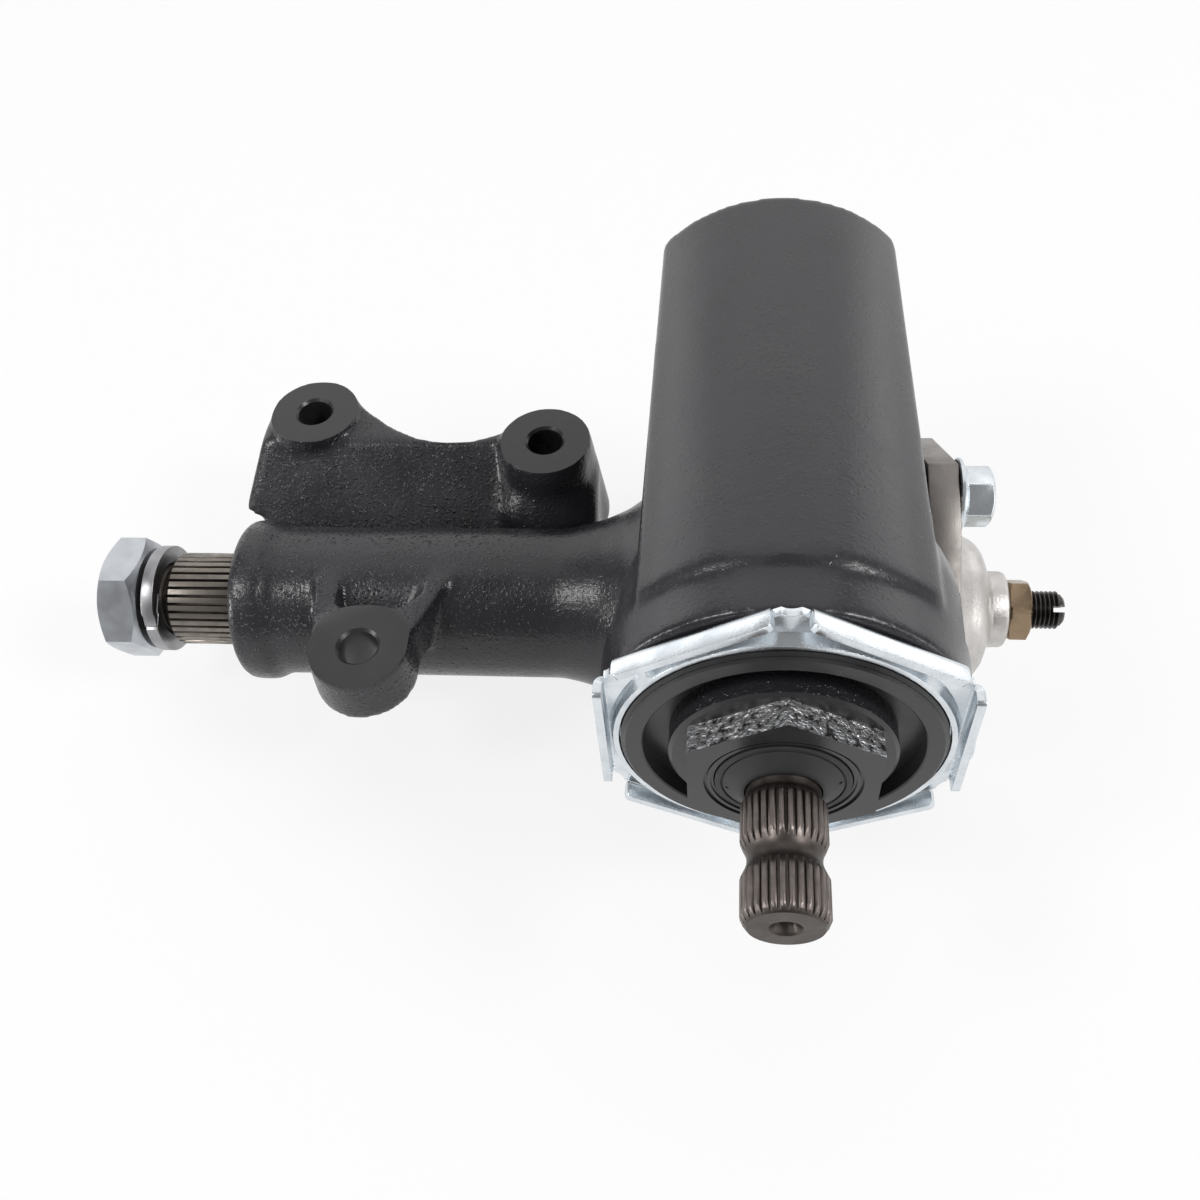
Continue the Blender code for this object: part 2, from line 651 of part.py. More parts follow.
def ball_guides():
    """Return guides over the nut, with their clamp and its two screws."""
    ends = guide_ends()
    for index, name in enumerate(("ball_guide_front", "ball_guide_rear")):
        (x1, y1), (x2, y2) = ends[2 * index:2 * index + 2]
        points = [(x1, y1, 9.7)]
        for step in range(5):
            angle = math.pi / 2.0 * step / 4.0
            share = 0.22 * (1.0 - math.cos(angle))
            points.append((x1 + (x2 - x1) * share, y1 + (y2 - y1) * share,
                           19.8 + 4.8 * math.sin(angle)))
        for step in range(5):
            angle = math.pi / 2.0 * step / 4.0
            share = 1.0 - 0.22 * (1.0 - math.sin(angle))
            points.append((x1 + (x2 - x1) * share, y1 + (y2 - y1) * share,
                           19.8 + 4.8 * math.cos(angle)))
        points.append((x2, y2, 9.7))
        guide = rod(name, points, 4.0, 2, PARTS, NUT)
        finish(guide, material(name + "_steel", (0.42, 0.41, 0.38), 0.35, 1.0))
    clamp = box("guide_clamp", (-9.0, SECTOR_BACK - 21.0, 29.0),
                (9.0, SECTOR_BACK + 21.0, 30.6), PARTS, NUT)
    for index, x in enumerate((-5.0, 5.0)):
        hole = cylinder("clamp_clear_%d" % (index + 1), (x, SECTOR_BACK, 27.0),
                        (x, SECTOR_BACK, 33.0), 2.4, 12, CUTTERS, WORM)
        cut(clamp, hole)
        screw = turned("guide_clamp_screw_%d" % (index + 1),
                       ((0.0, 3.2), (3.6, 2.6), (4.0, 0.3), (2.05, 0.3), (2.05, -12.2),
                        (0.0, -12.2)), 12, PARTS, NUT, "Y")
        screw.rotation_euler = (0.0, 0.0, 0.0)
        screw.location = Vector((x, SECTOR_BACK, 30.6)) * MM
        finish(screw, material("clamp_screw_steel_%d" % (index + 1), (0.4, 0.4, 0.4), 0.3, 1.0))
    finish(clamp, material("clamp_steel", (0.40, 0.39, 0.37), 0.4, 1.0))


def recirculating_balls():
    """Loaded balls of the two circuits, each a piece of its own."""
    spacing = 7.35 / math.hypot(BALL_CIRCLE_R, BALL_LEAD / (2.0 * math.pi)) / (2.0 * math.pi)
    look = material("ball_steel", (0.62, 0.62, 0.63), 0.15, 1.0)
    number = 0
    for middle in (-1.72, 1.72):
        for index in range(12):
            number += 1
            turn = middle + (index - 5.5) * spacing
            bm = bmesh.new()
            bmesh.ops.create_icosphere(bm, subdivisions=1, radius=BALL_R)
            bmesh.ops.translate(bm, vec=ball_place(SECTOR_BACK, turn), verts=bm.verts)
            ball = mesh_object("ball_%02d" % number, bm, PARTS, NUT)
            finish(ball, look.copy())


def sector_tooth_outline():
    """Outline of the three-toothed sector about its axis, in Y and Z."""
    base_r = SECTOR_PITCH_R * math.cos(PRESSURE_ANGLE)
    tip_r = SECTOR_PITCH_R + TOOTH_ADDENDUM
    root_r = SECTOR_PITCH_R - TOOTH_DEDENDUM
    half = (TOOTH_PITCH / 4.0 - TOOTH_THINNING / 2.0) / SECTOR_PITCH_R
    slant = math.tan(PRESSURE_ANGLE) - PRESSURE_ANGLE

    def flank(radius):
        turn = math.acos(min(1.0, base_r / radius))
        return half + slant - (math.tan(turn) - turn)

    outline = []
    for tooth in (-1, 0, 1):
        centre = tooth * math.pi / 4.0
        radii = [base_r + (tip_r - base_r) * step / 4.0 for step in range(5)]
        outline.append((root_r, centre - flank(base_r)))
        outline += [(radius, centre - flank(radius)) for radius in radii]
        outline += [(radius, centre + flank(radius)) for radius in reversed(radii)]
        outline.append((root_r, centre + flank(base_r)))
    for step in range(11):
        outline.append((17.5, math.radians(75.0) + math.radians(210.0) * step / 10.0))
    return [(radius * math.sin(angle), radius * math.cos(angle)) for radius, angle in outline]


def sector_shaft():
    """Output shaft with sector teeth, spline, thread and the adjuster's T-slot."""
    root = SECTOR_SPLINE_ROOT_R
    shaft = turned("sector_shaft", ((0.0, SECTOR_TIP), (10.2, SECTOR_TIP),
                                    (SECTOR_THREAD_R, SECTOR_TIP - 0.9),
                                    (SECTOR_THREAD_R, OUTPUT_THREAD_START),
                                    (10.2, OUTPUT_THREAD_START - 0.8),
                                    (10.2, OUTPUT_SPLINE_END + 1.9),
                                    (root - 0.1, OUTPUT_SPLINE_END + 1.4),
                                    (root - 0.1, TUBE_END + 1.8),
                                    (SECTOR_JOURNAL_R, TUBE_END + 0.4),
                                    (SECTOR_JOURNAL_R, 0.8 - SECTOR_INNER_END),
                                    (13.3, -SECTOR_INNER_END), (0.0, -SECTOR_INNER_END)),
                   28, PARTS, SECTOR, "X")
    join(shaft, splined_band("output_spline", OUTPUT_SPLINE_START, OUTPUT_SPLINE_END, root,
                             SECTOR_SPLINE_R, SECTOR_SPLINE_TEETH, SECTOR, "X"))
    gear = plate("sector_teeth", sector_tooth_outline(), -SECTOR_FACE_HALF, "X",
                 2.0 * SECTOR_FACE_HALF, CUTTERS, SECTOR)
    join(shaft, gear)
    wide = box("slot_wide", (LASH_HEAD_FACE - 1.8, -20.0, -LASH_HEAD_R - 0.6),
               (LASH_HEAD_FACE + 3.9, 20.0, LASH_HEAD_R + 0.6), CUTTERS, SECTOR)
    narrow = box("slot_narrow", (LASH_HEAD_FACE + 3.7, -20.0, -LASH_R - 0.6),
                 (SECTOR_INNER_END + 1.5, 20.0, LASH_R + 0.6), CUTTERS, SECTOR)
    cut(shaft, wide, narrow)
    return finish(shaft, material("sector_steel", (0.26, 0.24, 0.22), 0.4, 1.0))


def sector_bearings():
    """Bushings in the tube, the bushing in the cover and the output seal."""
    inner = SECTOR_JOURNAL_R + RUNNING_FIT
    outer = TUBE_BORE_R - RUNNING_FIT
    for name, near, far in (("sector_bushing_inner", SECTOR_FACE_HALF + 7.0, 60.0),
                            ("sector_bushing_outer", 115.0, SEAL_SEAT_START - 1.2),
                            ("cover_bushing", -SECTOR_INNER_END - 1.0, -COVER_INNER - 1.0)):
        bush = turned(name, ((inner, far), (outer, far), (outer, near), (inner, near)), 28,
                      PARTS, SECTOR, "X")
        finish(bush, material(name + "_bronze", (0.50, 0.34, 0.17), 0.4, 1.0))
    seal = turned("sector_seal", ((inner, TUBE_END - 0.6), (16.0, TUBE_END - 0.6),
                                  (17.0, TUBE_END - 2.0), (SEAL_SEAT_R - RUNNING_FIT,
                                                           TUBE_END - 2.0),
                                  (SEAL_SEAT_R - RUNNING_FIT, SEAL_SEAT_START + 0.3),
                                  (inner, SEAL_SEAT_START + 0.3)), 28, PARTS, SECTOR, "X")
    finish(seal, material("sector_seal_rubber", (0.02, 0.02, 0.02), 0.55, 0.0))


def sector_cover():
    """Aluminium side cover with the domed bearing boss, and its gasket."""
    cover = plate("sector_cover", COVER_OUTLINE, COVER_INNER, "X", COVER_OUTER - COVER_INNER,
                  PARTS, SECTOR)
    dome = turned("cover_dome", ((0.0, -COVER_BOSS_END), (COVER_BOSS_R, -COVER_BOSS_END),
                                 (COVER_BOSS_R, -COVER_OUTER - 11.5),
                                 (15.0, -COVER_OUTER - 10.6), (19.2, -COVER_OUTER - 8.4),
                                 (21.3, -COVER_OUTER - 5.4), (23.5, -COVER_OUTER - 2.0),
                                 (25.5, 1.0 - COVER_OUTER), (25.5, 5.0 - COVER_OUTER),
                                 (0.0, 5.0 - COVER_OUTER)), 32, CUTTERS, SECTOR, "X")
    flip(dome)
    join(cover, dome)
    room = turned("cover_room", ((0.0, -40.0), (TUBE_BORE_R, -40.0),
                                 (TUBE_BORE_R, -SECTOR_INNER_END - 1.5),
                                 (TUBE_BORE_R - 2.0, -SECTOR_INNER_END - 2.9),
                                 (LASH_R + RUNNING_FIT, -SECTOR_INNER_END - 3.0),
                                 (LASH_R + RUNNING_FIT, -70.0), (0.0, -70.0)), 24, CUTTERS,
                  SECTOR, "X")
    cut(cover, room)
    gasket = plate("cover_gasket", [(y * 0.97, z * 0.97) for y, z in COVER_OUTLINE],
                   COVER_INNER - 1.0, "X", 0.7, PARTS, SECTOR)
    opening = cylinder("gasket_opening", (39.0, 0, 0), (43.0, 0, 0), GEAR_ROOM_R, 32,
                       CUTTERS, SECTOR)
    cut(gasket, opening)
    for index, (y, z) in enumerate(COVER_BOLTS):
        hole = cylinder("cover_hole_%d" % (index + 1), (38.0, y, z), (70.0, y, z),
                        COVER_BOLT_R + BOLT_FIT, 16,
                        CUTTERS, SECTOR)
        cut(cover, hole)
        cut(gasket, hole)
    y, z = FILLER_SPOT
    hole = cylinder("filler_hole", (38.0, y, z), (54.0, y, z), FILLER_R + RUNNING_FIT, 16,
                    CUTTERS, SECTOR)
    cut(cover, hole)
    cut(gasket, hole)
    finish(cover, material("cover_aluminium", (0.52, 0.51, 0.49), 0.45, 1.0))
    finish(gasket, material("gasket_fibre", (0.10, 0.09, 0.07), 0.8, 0.0))


def flip(item):
    """Turn the faces of a profile whose outline runs up its outer side."""
    item.modifiers["turn"].use_normal_flip = True


def cover_fasteners():
    """Cover bolts with washer faces, and the filler plug."""
    seat = COVER_OUTER + RUNNING_FIT
    for index, (y, z) in enumerate(COVER_BOLTS):
        name = "cover_bolt_%d" % (index + 1)
        bolt = turned(name, ((0.0, seat + 2.7), (10.8, seat + 2.7), (10.9, seat),
                             (COVER_BOLT_R, seat), (COVER_BOLT_R, 28.0), (0.0, 28.0)),
                      20, PARTS, SECTOR, "X")
        bolt.rotation_euler = (0.0, math.pi / 2.0, 0.0)
        bolt.location = Vector((0.0, y, z)) * MM
        head = plate(name + "_head", [(y + a, z + b) for a, b in hexagon(COVER_HEX,
                                                                math.radians(49.5))],
                     seat + 2.2, "X", 7.7, CUTTERS, SECTOR)
        join(bolt, head)
        finish(bolt, material(name + "_zinc", (0.60, 0.64, 0.68), 0.28, 1.0))
    y, z = FILLER_SPOT
    filler = cylinder("filler_plug", (43.5, y, z), (seat + 1.7, y, z), FILLER_R, 16, PARTS, SECTOR)
    head = plate("filler_head", [(y + a, z + b) for a, b in hexagon(FILLER_HEX)], seat, "X", 5.0,
                 CUTTERS, SECTOR)
    join(filler, head)
    finish(filler, material("filler_zinc", (0.55, 0.57, 0.60), 0.35, 1.0))


def lash_adjuster():
    """Adjusting screw with its T-head, the shim under it and the jam nut."""
    screw = turned("lash_adjuster", ((0.0, LASH_TIP), (LASH_R - 1.3, LASH_TIP),
                                     (LASH_R, LASH_TIP - 1.6), (LASH_R, LASH_HEAD_FACE + 3.6),
                                     (LASH_HEAD_R, LASH_HEAD_FACE + 3.6),
                                     (LASH_HEAD_R, LASH_HEAD_FACE), (0.0, LASH_HEAD_FACE)),
                   24, PARTS, LASH, "X")
    screw.rotation_euler = (0.0, math.pi / 2.0, 0.0)
    slot = box("driver_slot", (LASH_TIP - 3.6, -8.0, -0.8), (LASH_TIP + 2.0, 8.0, 0.8),
               CUTTERS, SECTOR)
    slot.rotation_euler = (math.radians(-55.0), 0.0, 0.0)
    cut(screw, slot)
    finish(screw, material("adjuster_steel", (0.10, 0.10, 0.10), 0.45, 1.0))
    shim = cylinder("adjuster_shim", (LASH_HEAD_FACE - 1.4, 0, 0), (LASH_HEAD_FACE - 0.3, 0, 0),
                    LASH_HEAD_R, 24, PARTS, LASH)
    finish(shim, material("shim_steel", (0.5, 0.5, 0.5), 0.35, 1.0))
    nut = plate("lash_jam_nut", hexagon(JAM_NUT_FLATS, math.radians(15.0)), JAM_NUT_FACE, "X",
                JAM_NUT_THICK, PARTS, SECTOR)
    hole = cylinder("jam_nut_hole", (60, 0, 0), (80, 0, 0), LASH_R + BOLT_FIT, 24, CUTTERS, SECTOR)
    cut(nut, hole)
    finish(nut, material("jam_nut_bronze", (0.55, 0.36, 0.15), 0.35, 1.0))


def output_fasteners():
    """Loose split washer and hexagonal nut on the output thread."""
    inner = SECTOR_THREAD_R + RUNNING_FIT
    near = OUTPUT_THREAD_START - RUNNING_FIT
    far = near + PITMAN_WASHER_THICK
    nut_face = far + PITMAN_SLACK + PITMAN_NUT_THICK
    washer = turned("pitman_lock_washer", ((inner, far), (PITMAN_WASHER_R, far),
                                           (PITMAN_WASHER_R, near), (inner, near)),
                    40, PARTS, SECTOR, "X")
    split = box("washer_split", (-far - 2.4, -1.2, 9.0), (2.9 - near, 1.2, PITMAN_WASHER_R + 3.6),
                CUTTERS, SECTOR)
    split.rotation_euler = (math.radians(160.0), 0.0, 0.0)
    cut(washer, split)
    finish(washer, material("washer_zinc", (0.62, 0.66, 0.70), 0.28, 1.0))
    nut = plate("pitman_nut", hexagon(PITMAN_NUT_FLATS, math.radians(52.5)), -nut_face, "X",
                PITMAN_NUT_THICK, PARTS, SECTOR)
    hole = cylinder("pitman_nut_hole", (-nut_face - 7.1, 0, 0), (22.9 - nut_face, 0, 0), inner, 32,
                    CUTTERS, SECTOR)
    cut(nut, hole)
    finish(nut, material("nut_zinc", (0.60, 0.64, 0.68), 0.3, 1.0))


clear_scene()
PARTS = collection("steering_gearbox")
CUTTERS = collection("cutters")
WORM = axis_empty("worm_axis", (WORM_AXIS_X, WORM_FACE_Y, WORM_AXIS_Z))
NUT = axis_empty("ball_nut_slide", (WORM_AXIS_X, WORM_FACE_Y, WORM_AXIS_Z))
SECTOR = axis_empty("sector_axis", (WORM_AXIS_X, WORM_FACE_Y + SECTOR_BACK,
                                    WORM_AXIS_Z - SECTOR_DROP))
LASH = axis_empty("lash_axis", (WORM_AXIS_X, WORM_FACE_Y + SECTOR_BACK,
                                WORM_AXIS_Z - SECTOR_DROP))
housing()
worm_bearing_adjuster()
adjuster_lock_nut()
input_seal()
worm_shaft()
worm_bearings()
ball_nut()
ball_guides()
recirculating_balls()
sector_shaft()
sector_bearings()
sector_cover()
cover_fasteners()
lash_adjuster()
output_fasteners()
bpy.context.view_layer.update()
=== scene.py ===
"""Look of a manual recirculating-ball steering gearbox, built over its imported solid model."""

import json
import logging
import math
from collections import defaultdict
from dataclasses import dataclass
from enum import Enum
from typing import Callable, Sequence

import bmesh
import bpy
from mathutils import Matrix, Vector

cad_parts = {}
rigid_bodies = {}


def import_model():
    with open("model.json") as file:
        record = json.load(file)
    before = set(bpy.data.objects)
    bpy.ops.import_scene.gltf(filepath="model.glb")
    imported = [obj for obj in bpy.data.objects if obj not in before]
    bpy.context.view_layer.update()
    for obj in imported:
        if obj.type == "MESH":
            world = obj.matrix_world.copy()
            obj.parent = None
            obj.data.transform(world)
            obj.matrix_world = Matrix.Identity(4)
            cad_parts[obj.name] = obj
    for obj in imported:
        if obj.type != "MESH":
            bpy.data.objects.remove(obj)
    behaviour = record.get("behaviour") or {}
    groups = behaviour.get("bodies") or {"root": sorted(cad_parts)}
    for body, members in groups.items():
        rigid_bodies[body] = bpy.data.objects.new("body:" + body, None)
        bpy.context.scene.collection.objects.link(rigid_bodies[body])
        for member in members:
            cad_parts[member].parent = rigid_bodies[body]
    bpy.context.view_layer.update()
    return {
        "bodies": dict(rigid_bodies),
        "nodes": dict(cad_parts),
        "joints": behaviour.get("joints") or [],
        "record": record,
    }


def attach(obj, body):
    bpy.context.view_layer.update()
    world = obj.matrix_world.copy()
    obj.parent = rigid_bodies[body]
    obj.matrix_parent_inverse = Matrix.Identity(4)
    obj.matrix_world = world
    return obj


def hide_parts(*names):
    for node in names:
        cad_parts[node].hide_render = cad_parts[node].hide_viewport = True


LOG = logging.getLogger("steering_gearbox")
MM = 0.001
Profile = Sequence[tuple[float, float]]
UP = Vector((0.0, 0.0, 1.0))
DOUBLES = 2e-6
COVER_BOLTS = ((15.3, 32.0), (-25.6, -28.2), (29.5, -25.0))


class Machining(Enum):
    """Ways of joining one solid with another."""

    REMOVE = "DIFFERENCE"
    WELD = "UNION"
    KEEP = "INTERSECT"


@dataclass(frozen=True)
class Spindle:
    """A working axis of the gearbox, used as the spindle that pieces are turned on.

    Heights are millimetres from the origin along the axis. Angles run from side to rise.
    """

    origin: tuple[float, float, float]
    along: tuple[float, float, float]
    side: tuple[float, float, float]
    rise: tuple[float, float, float] = (0.0, 0.0, 1.0)

    def direction(self) -> Vector:
        """Unit vector along the axis."""
        return Vector(self.along)

    def sense(self) -> float:
        """Sign that turns an angle from side to rise into a rotation about the axis."""
        return math.copysign(1.0, self.direction().cross(Vector(self.side)).dot(
            Vector(self.rise)))

    def point(self, height: float, radius: float = 0.0, angle: float = 0.0) -> Vector:
        """Place a point on the axis or round it.

        Args:
            height: distance along the axis in millimetres.
            radius: distance from the axis in millimetres.
            angle: turn from the side direction towards the rise, in radians.

        Returns:
            The point in metres in the part's frame.
        """
        spoke = Vector(self.side) * math.cos(angle) + Vector(self.rise) * math.sin(angle)
        return (Vector(self.origin) + self.direction() * height + spoke * radius) * MM

    def read(self, spot: Vector) -> tuple[float, float, float]:
        """Measure a point.

        Args:
            spot: point in metres.

        Returns:
            Its height and radius in millimetres and its angle in radians.
        """
        offset = spot / MM - Vector(self.origin)
        height = offset.dot(self.direction())
        across, rise = offset.dot(Vector(self.side)), offset.dot(Vector(self.rise))
        return height, math.hypot(across, rise), math.atan2(rise, across)

    def facing(self, turn: float = 0.0) -> Matrix:
        """Rotation that sets a primitive's Z on the axis and its first corner at an angle.

        Args:
            turn: angle of the first corner from side towards rise, in radians.

        Returns:
            The rotation as a 4 by 4 matrix.
        """
        side = Vector(self.side)
        basis = Matrix((side.cross(self.direction()), side, self.direction())).transposed()
        spun = Matrix.Rotation(self.sense() * turn, 3, self.direction())
        return (spun @ basis).to_4x4()


WORM = Spindle((59.45, -57.1, 90.0), (0.0, -1.0, 0.0), (1.0, 0.0, 0.0))
SECTOR = Spindle((59.45, 22.4, 40.0), (-1.0, 0.0, 0.0), (0.0, 1.0, 0.0))


def upright(x: float, y: float) -> Spindle:
    """Vertical spindle at millimetres right of and behind the worm's mouth, heights from its axis."""
    origin = (WORM.origin[0] + x, WORM.origin[1] + y, WORM.origin[2])
    return Spindle(origin, (0.0, 0.0, 1.0), (1.0, 0.0, 0.0), (0.0, 1.0, 0.0))


def beside(spindle: Spindle, side: float, rise: float) -> Spindle:
    """Spindle that runs beside another, moved by millimetres to the side and upwards."""
    origin = Vector(spindle.origin) + Vector(spindle.side) * side + Vector(spindle.rise) * rise
    return Spindle(tuple(origin), spindle.along, spindle.side, spindle.rise)


def off_axis(spindle: Spindle, radius: float, angle: float) -> Spindle:
    """Spindle that runs beside another at a radius in millimetres and an angle in radians."""
    return beside(spindle, radius * math.cos(angle), radius * math.sin(angle))


def to_axis(*spots: tuple[float, float]) -> list[tuple[float, float]]:
    """Profile of a solid turned piece: its heights and radii, closed on the axis at both ends."""
    return [(spots[0][0], 0.0), *spots, (spots[-1][0], 0.0)]


def rectangle(left: float, right: float, low: float, high: float) -> list[tuple[float, float]]:
    """Corners of a rectangle from its sides."""
    return [(left, low), (right, low), (right, high), (left, high)]


def put_down() -> None:
    """Leave edit mode and select nothing."""
    if bpy.context.object is not None and bpy.context.object.mode != "OBJECT":
        bpy.ops.object.mode_set(mode="OBJECT")
    bpy.ops.object.select_all(action="DESELECT")


def take_up(piece: bpy.types.Object) -> None:
    """Select one piece alone and make it active."""
    put_down()
    piece.select_set(True)
    bpy.context.view_layer.objects.active = piece


def fix_place() -> None:
    """Put the selected piece's place, turn and size into its mesh."""
    bpy.ops.object.transform_apply(location=True, rotation=True, scale=True)


def open_mesh(piece: bpy.types.Object) -> None:
    """Enter edit mode on a piece with nothing selected."""
    take_up(piece)
    bpy.ops.object.mode_set(mode="EDIT")
    bpy.ops.mesh.select_mode(type="VERT")
    bpy.ops.mesh.select_all(action="DESELECT")


def pick(piece: bpy.types.Object, wanted: Callable[[Vector], bool]) -> int:
    """Select the vertices of the open mesh that a test accepts, and no others.

    Args:
        piece: the piece in edit mode.
        wanted: test of a vertex's place in metres.

    Returns:
        How many vertices are selected.
    """
    sheet = bmesh.from_edit_mesh(piece.data)
    for vertex in sheet.verts:
        vertex.select = bool(wanted(vertex.co))
    sheet.select_flush_mode()
    for item in list(sheet.edges) + list(sheet.faces):
        item.select = all(vertex.select for vertex in item.verts)
    bmesh.update_edit_mesh(piece.data)
    return sum(vertex.select for vertex in sheet.verts)


def close_mesh(piece: bpy.types.Object) -> bpy.types.Object:
    """Merge doubles, turn the faces outwards and leave edit mode."""
    bpy.ops.mesh.select_all(action="SELECT")
    bpy.ops.mesh.remove_doubles(threshold=DOUBLES)
    bpy.ops.mesh.select_all(action="SELECT")
    bpy.ops.mesh.normals_make_consistent(inside=False)
    put_down()
    return piece


def draw_out(step: Vector, scale: float = 1.0, centre: Vector | None = None) -> None:
    """Extrude what is selected, move it and scale it about a centre."""
    bpy.ops.mesh.extrude_region_move(TRANSFORM_OT_translate={"value": step})
    if centre is not None and abs(scale - 1.0) > 1e-9:
        bpy.ops.transform.resize(value=(scale, scale, scale), center_override=centre)


def turned(name: str, spindle: Spindle, profile: Profile, steps: int = 96,
           turn: float = 0.0) -> bpy.types.Object:
    """Turn a profile by drawing a circle out along the spindle and scaling each ring.

    Args:
        name: name of the piece.
        spindle: axis it is turned on.
        profile: heights and radii in millimetres; it starts and ends on the axis,
            or ends on its first point for a ring.
        steps: number of points round each ring.
        turn: angle of the first point, in radians.

    Returns:
        The closed piece.
    """
    rings = [spot for spot in profile if spot[1] > 1e-6]
    height, radius = rings[0]
    put_down()
    bpy.ops.mesh.primitive_circle_add(vertices=steps, radius=radius * MM,
                                      location=spindle.point(height),
                                      rotation=spindle.facing(turn).to_euler())
    piece = bpy.context.object
    piece.name = name
    fix_place()
    open_mesh(piece)
    bpy.ops.mesh.select_all(action="SELECT")
    if profile[0][1] <= 1e-6:
        cap(spindle, profile[0][0] - height)
        pick(piece, lambda spot: spindle.read(spot)[1] > radius * 0.5
             and abs(spindle.read(spot)[0] - height) < 1e-3)
    for next_height, next_radius in rings[1:]:
        step = spindle.direction() * (next_height - height) * MM
        draw_out(step, next_radius / radius, spindle.point(next_height))
        height, radius = next_height, next_radius
    if profile[-1][1] <= 1e-6:
        cap(spindle, profile[-1][0] - height)
    return close_mesh(piece)


def cap(spindle: Spindle, rise: float) -> None:
    """Close the selected ring with a flat face or a cone of the given rise."""
    if abs(rise) < 1e-6:
        bpy.ops.mesh.edge_face_add()
        return
    draw_out(spindle.direction() * rise * MM)
    bpy.ops.mesh.merge(type="CENTER")


def form_spokes(piece: bpy.types.Object, spindle: Spindle, heights: tuple[float, float],
                factor: Callable[[float], float]) -> None:
    """Draw the points of a height range in or out along their spokes.

    Args:
        piece: piece to shape.
        spindle: axis the spokes leave.
        heights: lowest and highest height in millimetres.
        factor: scale of the radius for an angle in radians.
    """
    groups: dict[float, list[int]] = defaultdict(list)
    for vertex in piece.data.vertices:
        height, radius, angle = spindle.read(vertex.co)
        if heights[0] <= height <= heights[1] and radius > 1e-3:
            groups[round(factor(angle), 5)].append(vertex.index)
    axis = spindle.direction()
    open_mesh(piece)
    for scale, members in groups.items():
        if abs(scale - 1.0) < 1e-5:
            continue
        sheet = bmesh.from_edit_mesh(piece.data)
        sheet.verts.ensure_lookup_table()
        chosen = set(members)
        for vertex in sheet.verts:
            vertex.select = vertex.index in chosen
        bmesh.update_edit_mesh(piece.data)
        value = tuple(1.0 if abs(part) > 0.5 else scale for part in axis)
        bpy.ops.transform.resize(value=value, center_override=spindle.point(0.0))
    put_down()


def prism(name: str, outline: Profile, spindle: Spindle,
          heights: tuple[float, float]) -> bpy.types.Object:
    """Cut a plate from an outline drawn square to a spindle.

    Args:
        name: name of the piece.
        outline: corners as side and up distances from the axis, in millimetres.
        spindle: axis the plate's thickness runs along.
        heights: the two faces' heights in millimetres.

    Returns:
        The closed piece.
    """
    put_down()
    bpy.ops.mesh.primitive_circle_add(vertices=len(outline), radius=MM, fill_type="NGON",
                                      location=spindle.point(heights[0]),
                                      rotation=spindle.facing().to_euler())
    piece = bpy.context.object
    piece.name = name
    fix_place()
    order = sorted(piece.data.vertices, key=lambda vertex: spindle.read(vertex.co)[2])
    turn = sum(outline[index - 1][0] * spot[1] - spot[0] * outline[index - 1][1]
               for index, spot in enumerate(outline))
    corners = list(outline) if turn > 0 else list(reversed(outline))
    for vertex, (side, rise) in zip(order, corners):
        offset = Vector(spindle.side) * side + Vector(spindle.rise) * rise
        vertex.co = spindle.point(heights[0]) + offset * MM
    open_mesh(piece)
    bpy.ops.mesh.select_all(action="SELECT")
    draw_out(spindle.direction() * (heights[1] - heights[0]) * MM)
    return close_mesh(piece)


def hexagon(across_flats: float, turn: float) -> list[tuple[float, float]]:
    """Corners of a hexagon from its size over the flats and its first corner's angle."""
    radius = across_flats / math.sqrt(3.0)
    return [(radius * math.cos(turn + step * math.pi / 3.0),
             radius * math.sin(turn + step * math.pi / 3.0)) for step in range(6)]


def hex_bar(name: str, spindle: Spindle, flats: float, turn: float,
            heights: tuple[float, float], chamfers: tuple[bool, bool] = (True, True),
            crown: float = 0.94) -> bpy.types.Object:
    """Cut a hexagonal bar and turn its corners off, as on a nut or a bolt head.

    Args:
        name: name of the piece.
        spindle: axis of the bar.
        flats: size over the flats in millimetres.
        turn: angle of its first corner in radians.
        heights: its two ends in millimetres.
        chamfers: which of the two ends have turned corners.
        crown: radius of the chamfer's circle at the end, against half the flats.

    Returns:
        The closed piece.
    """
    bar = prism(name, hexagon(flats, turn), spindle, heights)
    corner = flats / math.sqrt(3.0) + 0.4
    inner = flats / 2.0 * crown
    drop = (corner - inner) * math.tan(math.radians(30.0))
    way = math.copysign(1.0, heights[1] - heights[0])
    profile = [(heights[0], 0.0)]
    if chamfers[0]:
        profile += [(heights[0], inner), (heights[0] + way * drop, corner)]
    else:
        profile += [(heights[0], corner)]
    if chamfers[1]:
        profile += [(heights[1] - way * drop, corner), (heights[1], inner)]
    else:
        profile += [(heights[1], corner)]
    profile.append((heights[1], 0.0))
    return work(bar, turned("corner_turning", spindle, profile, 96), Machining.KEEP)


def toothed_bar(name: str, spindle: Spindle, teeth: int, root: float, tip: float,
                heights: tuple[float, float], tip_share: float) -> bpy.types.Object:
    """Draw a bar whose section is a ring of spline teeth.

    Args:
        name: name of the piece.
        spindle: axis of the bar.
        teeth: number of teeth.
        root: radius at the bottom of the gaps in millimetres.
        tip: radius over the teeth in millimetres.
        heights: its two ends in millimetres.
        tip_share: share of the pitch that each tooth's land takes.

    Returns:
        The closed piece.
    """
    outline = []
    root_share = 0.26
    pitch = 2.0 * math.pi / teeth
    for tooth in range(teeth):
        middle = tooth * pitch
        for offset, radius in ((-0.5 + root_share / 2.0, root), (-tip_share / 2.0, tip),
                               (tip_share / 2.0, tip), (0.5 - root_share / 2.0, root)):
            angle = middle + offset * pitch
            outline.append((radius * math.cos(angle), radius * math.sin(angle)))
    return prism(name, outline, spindle, heights)


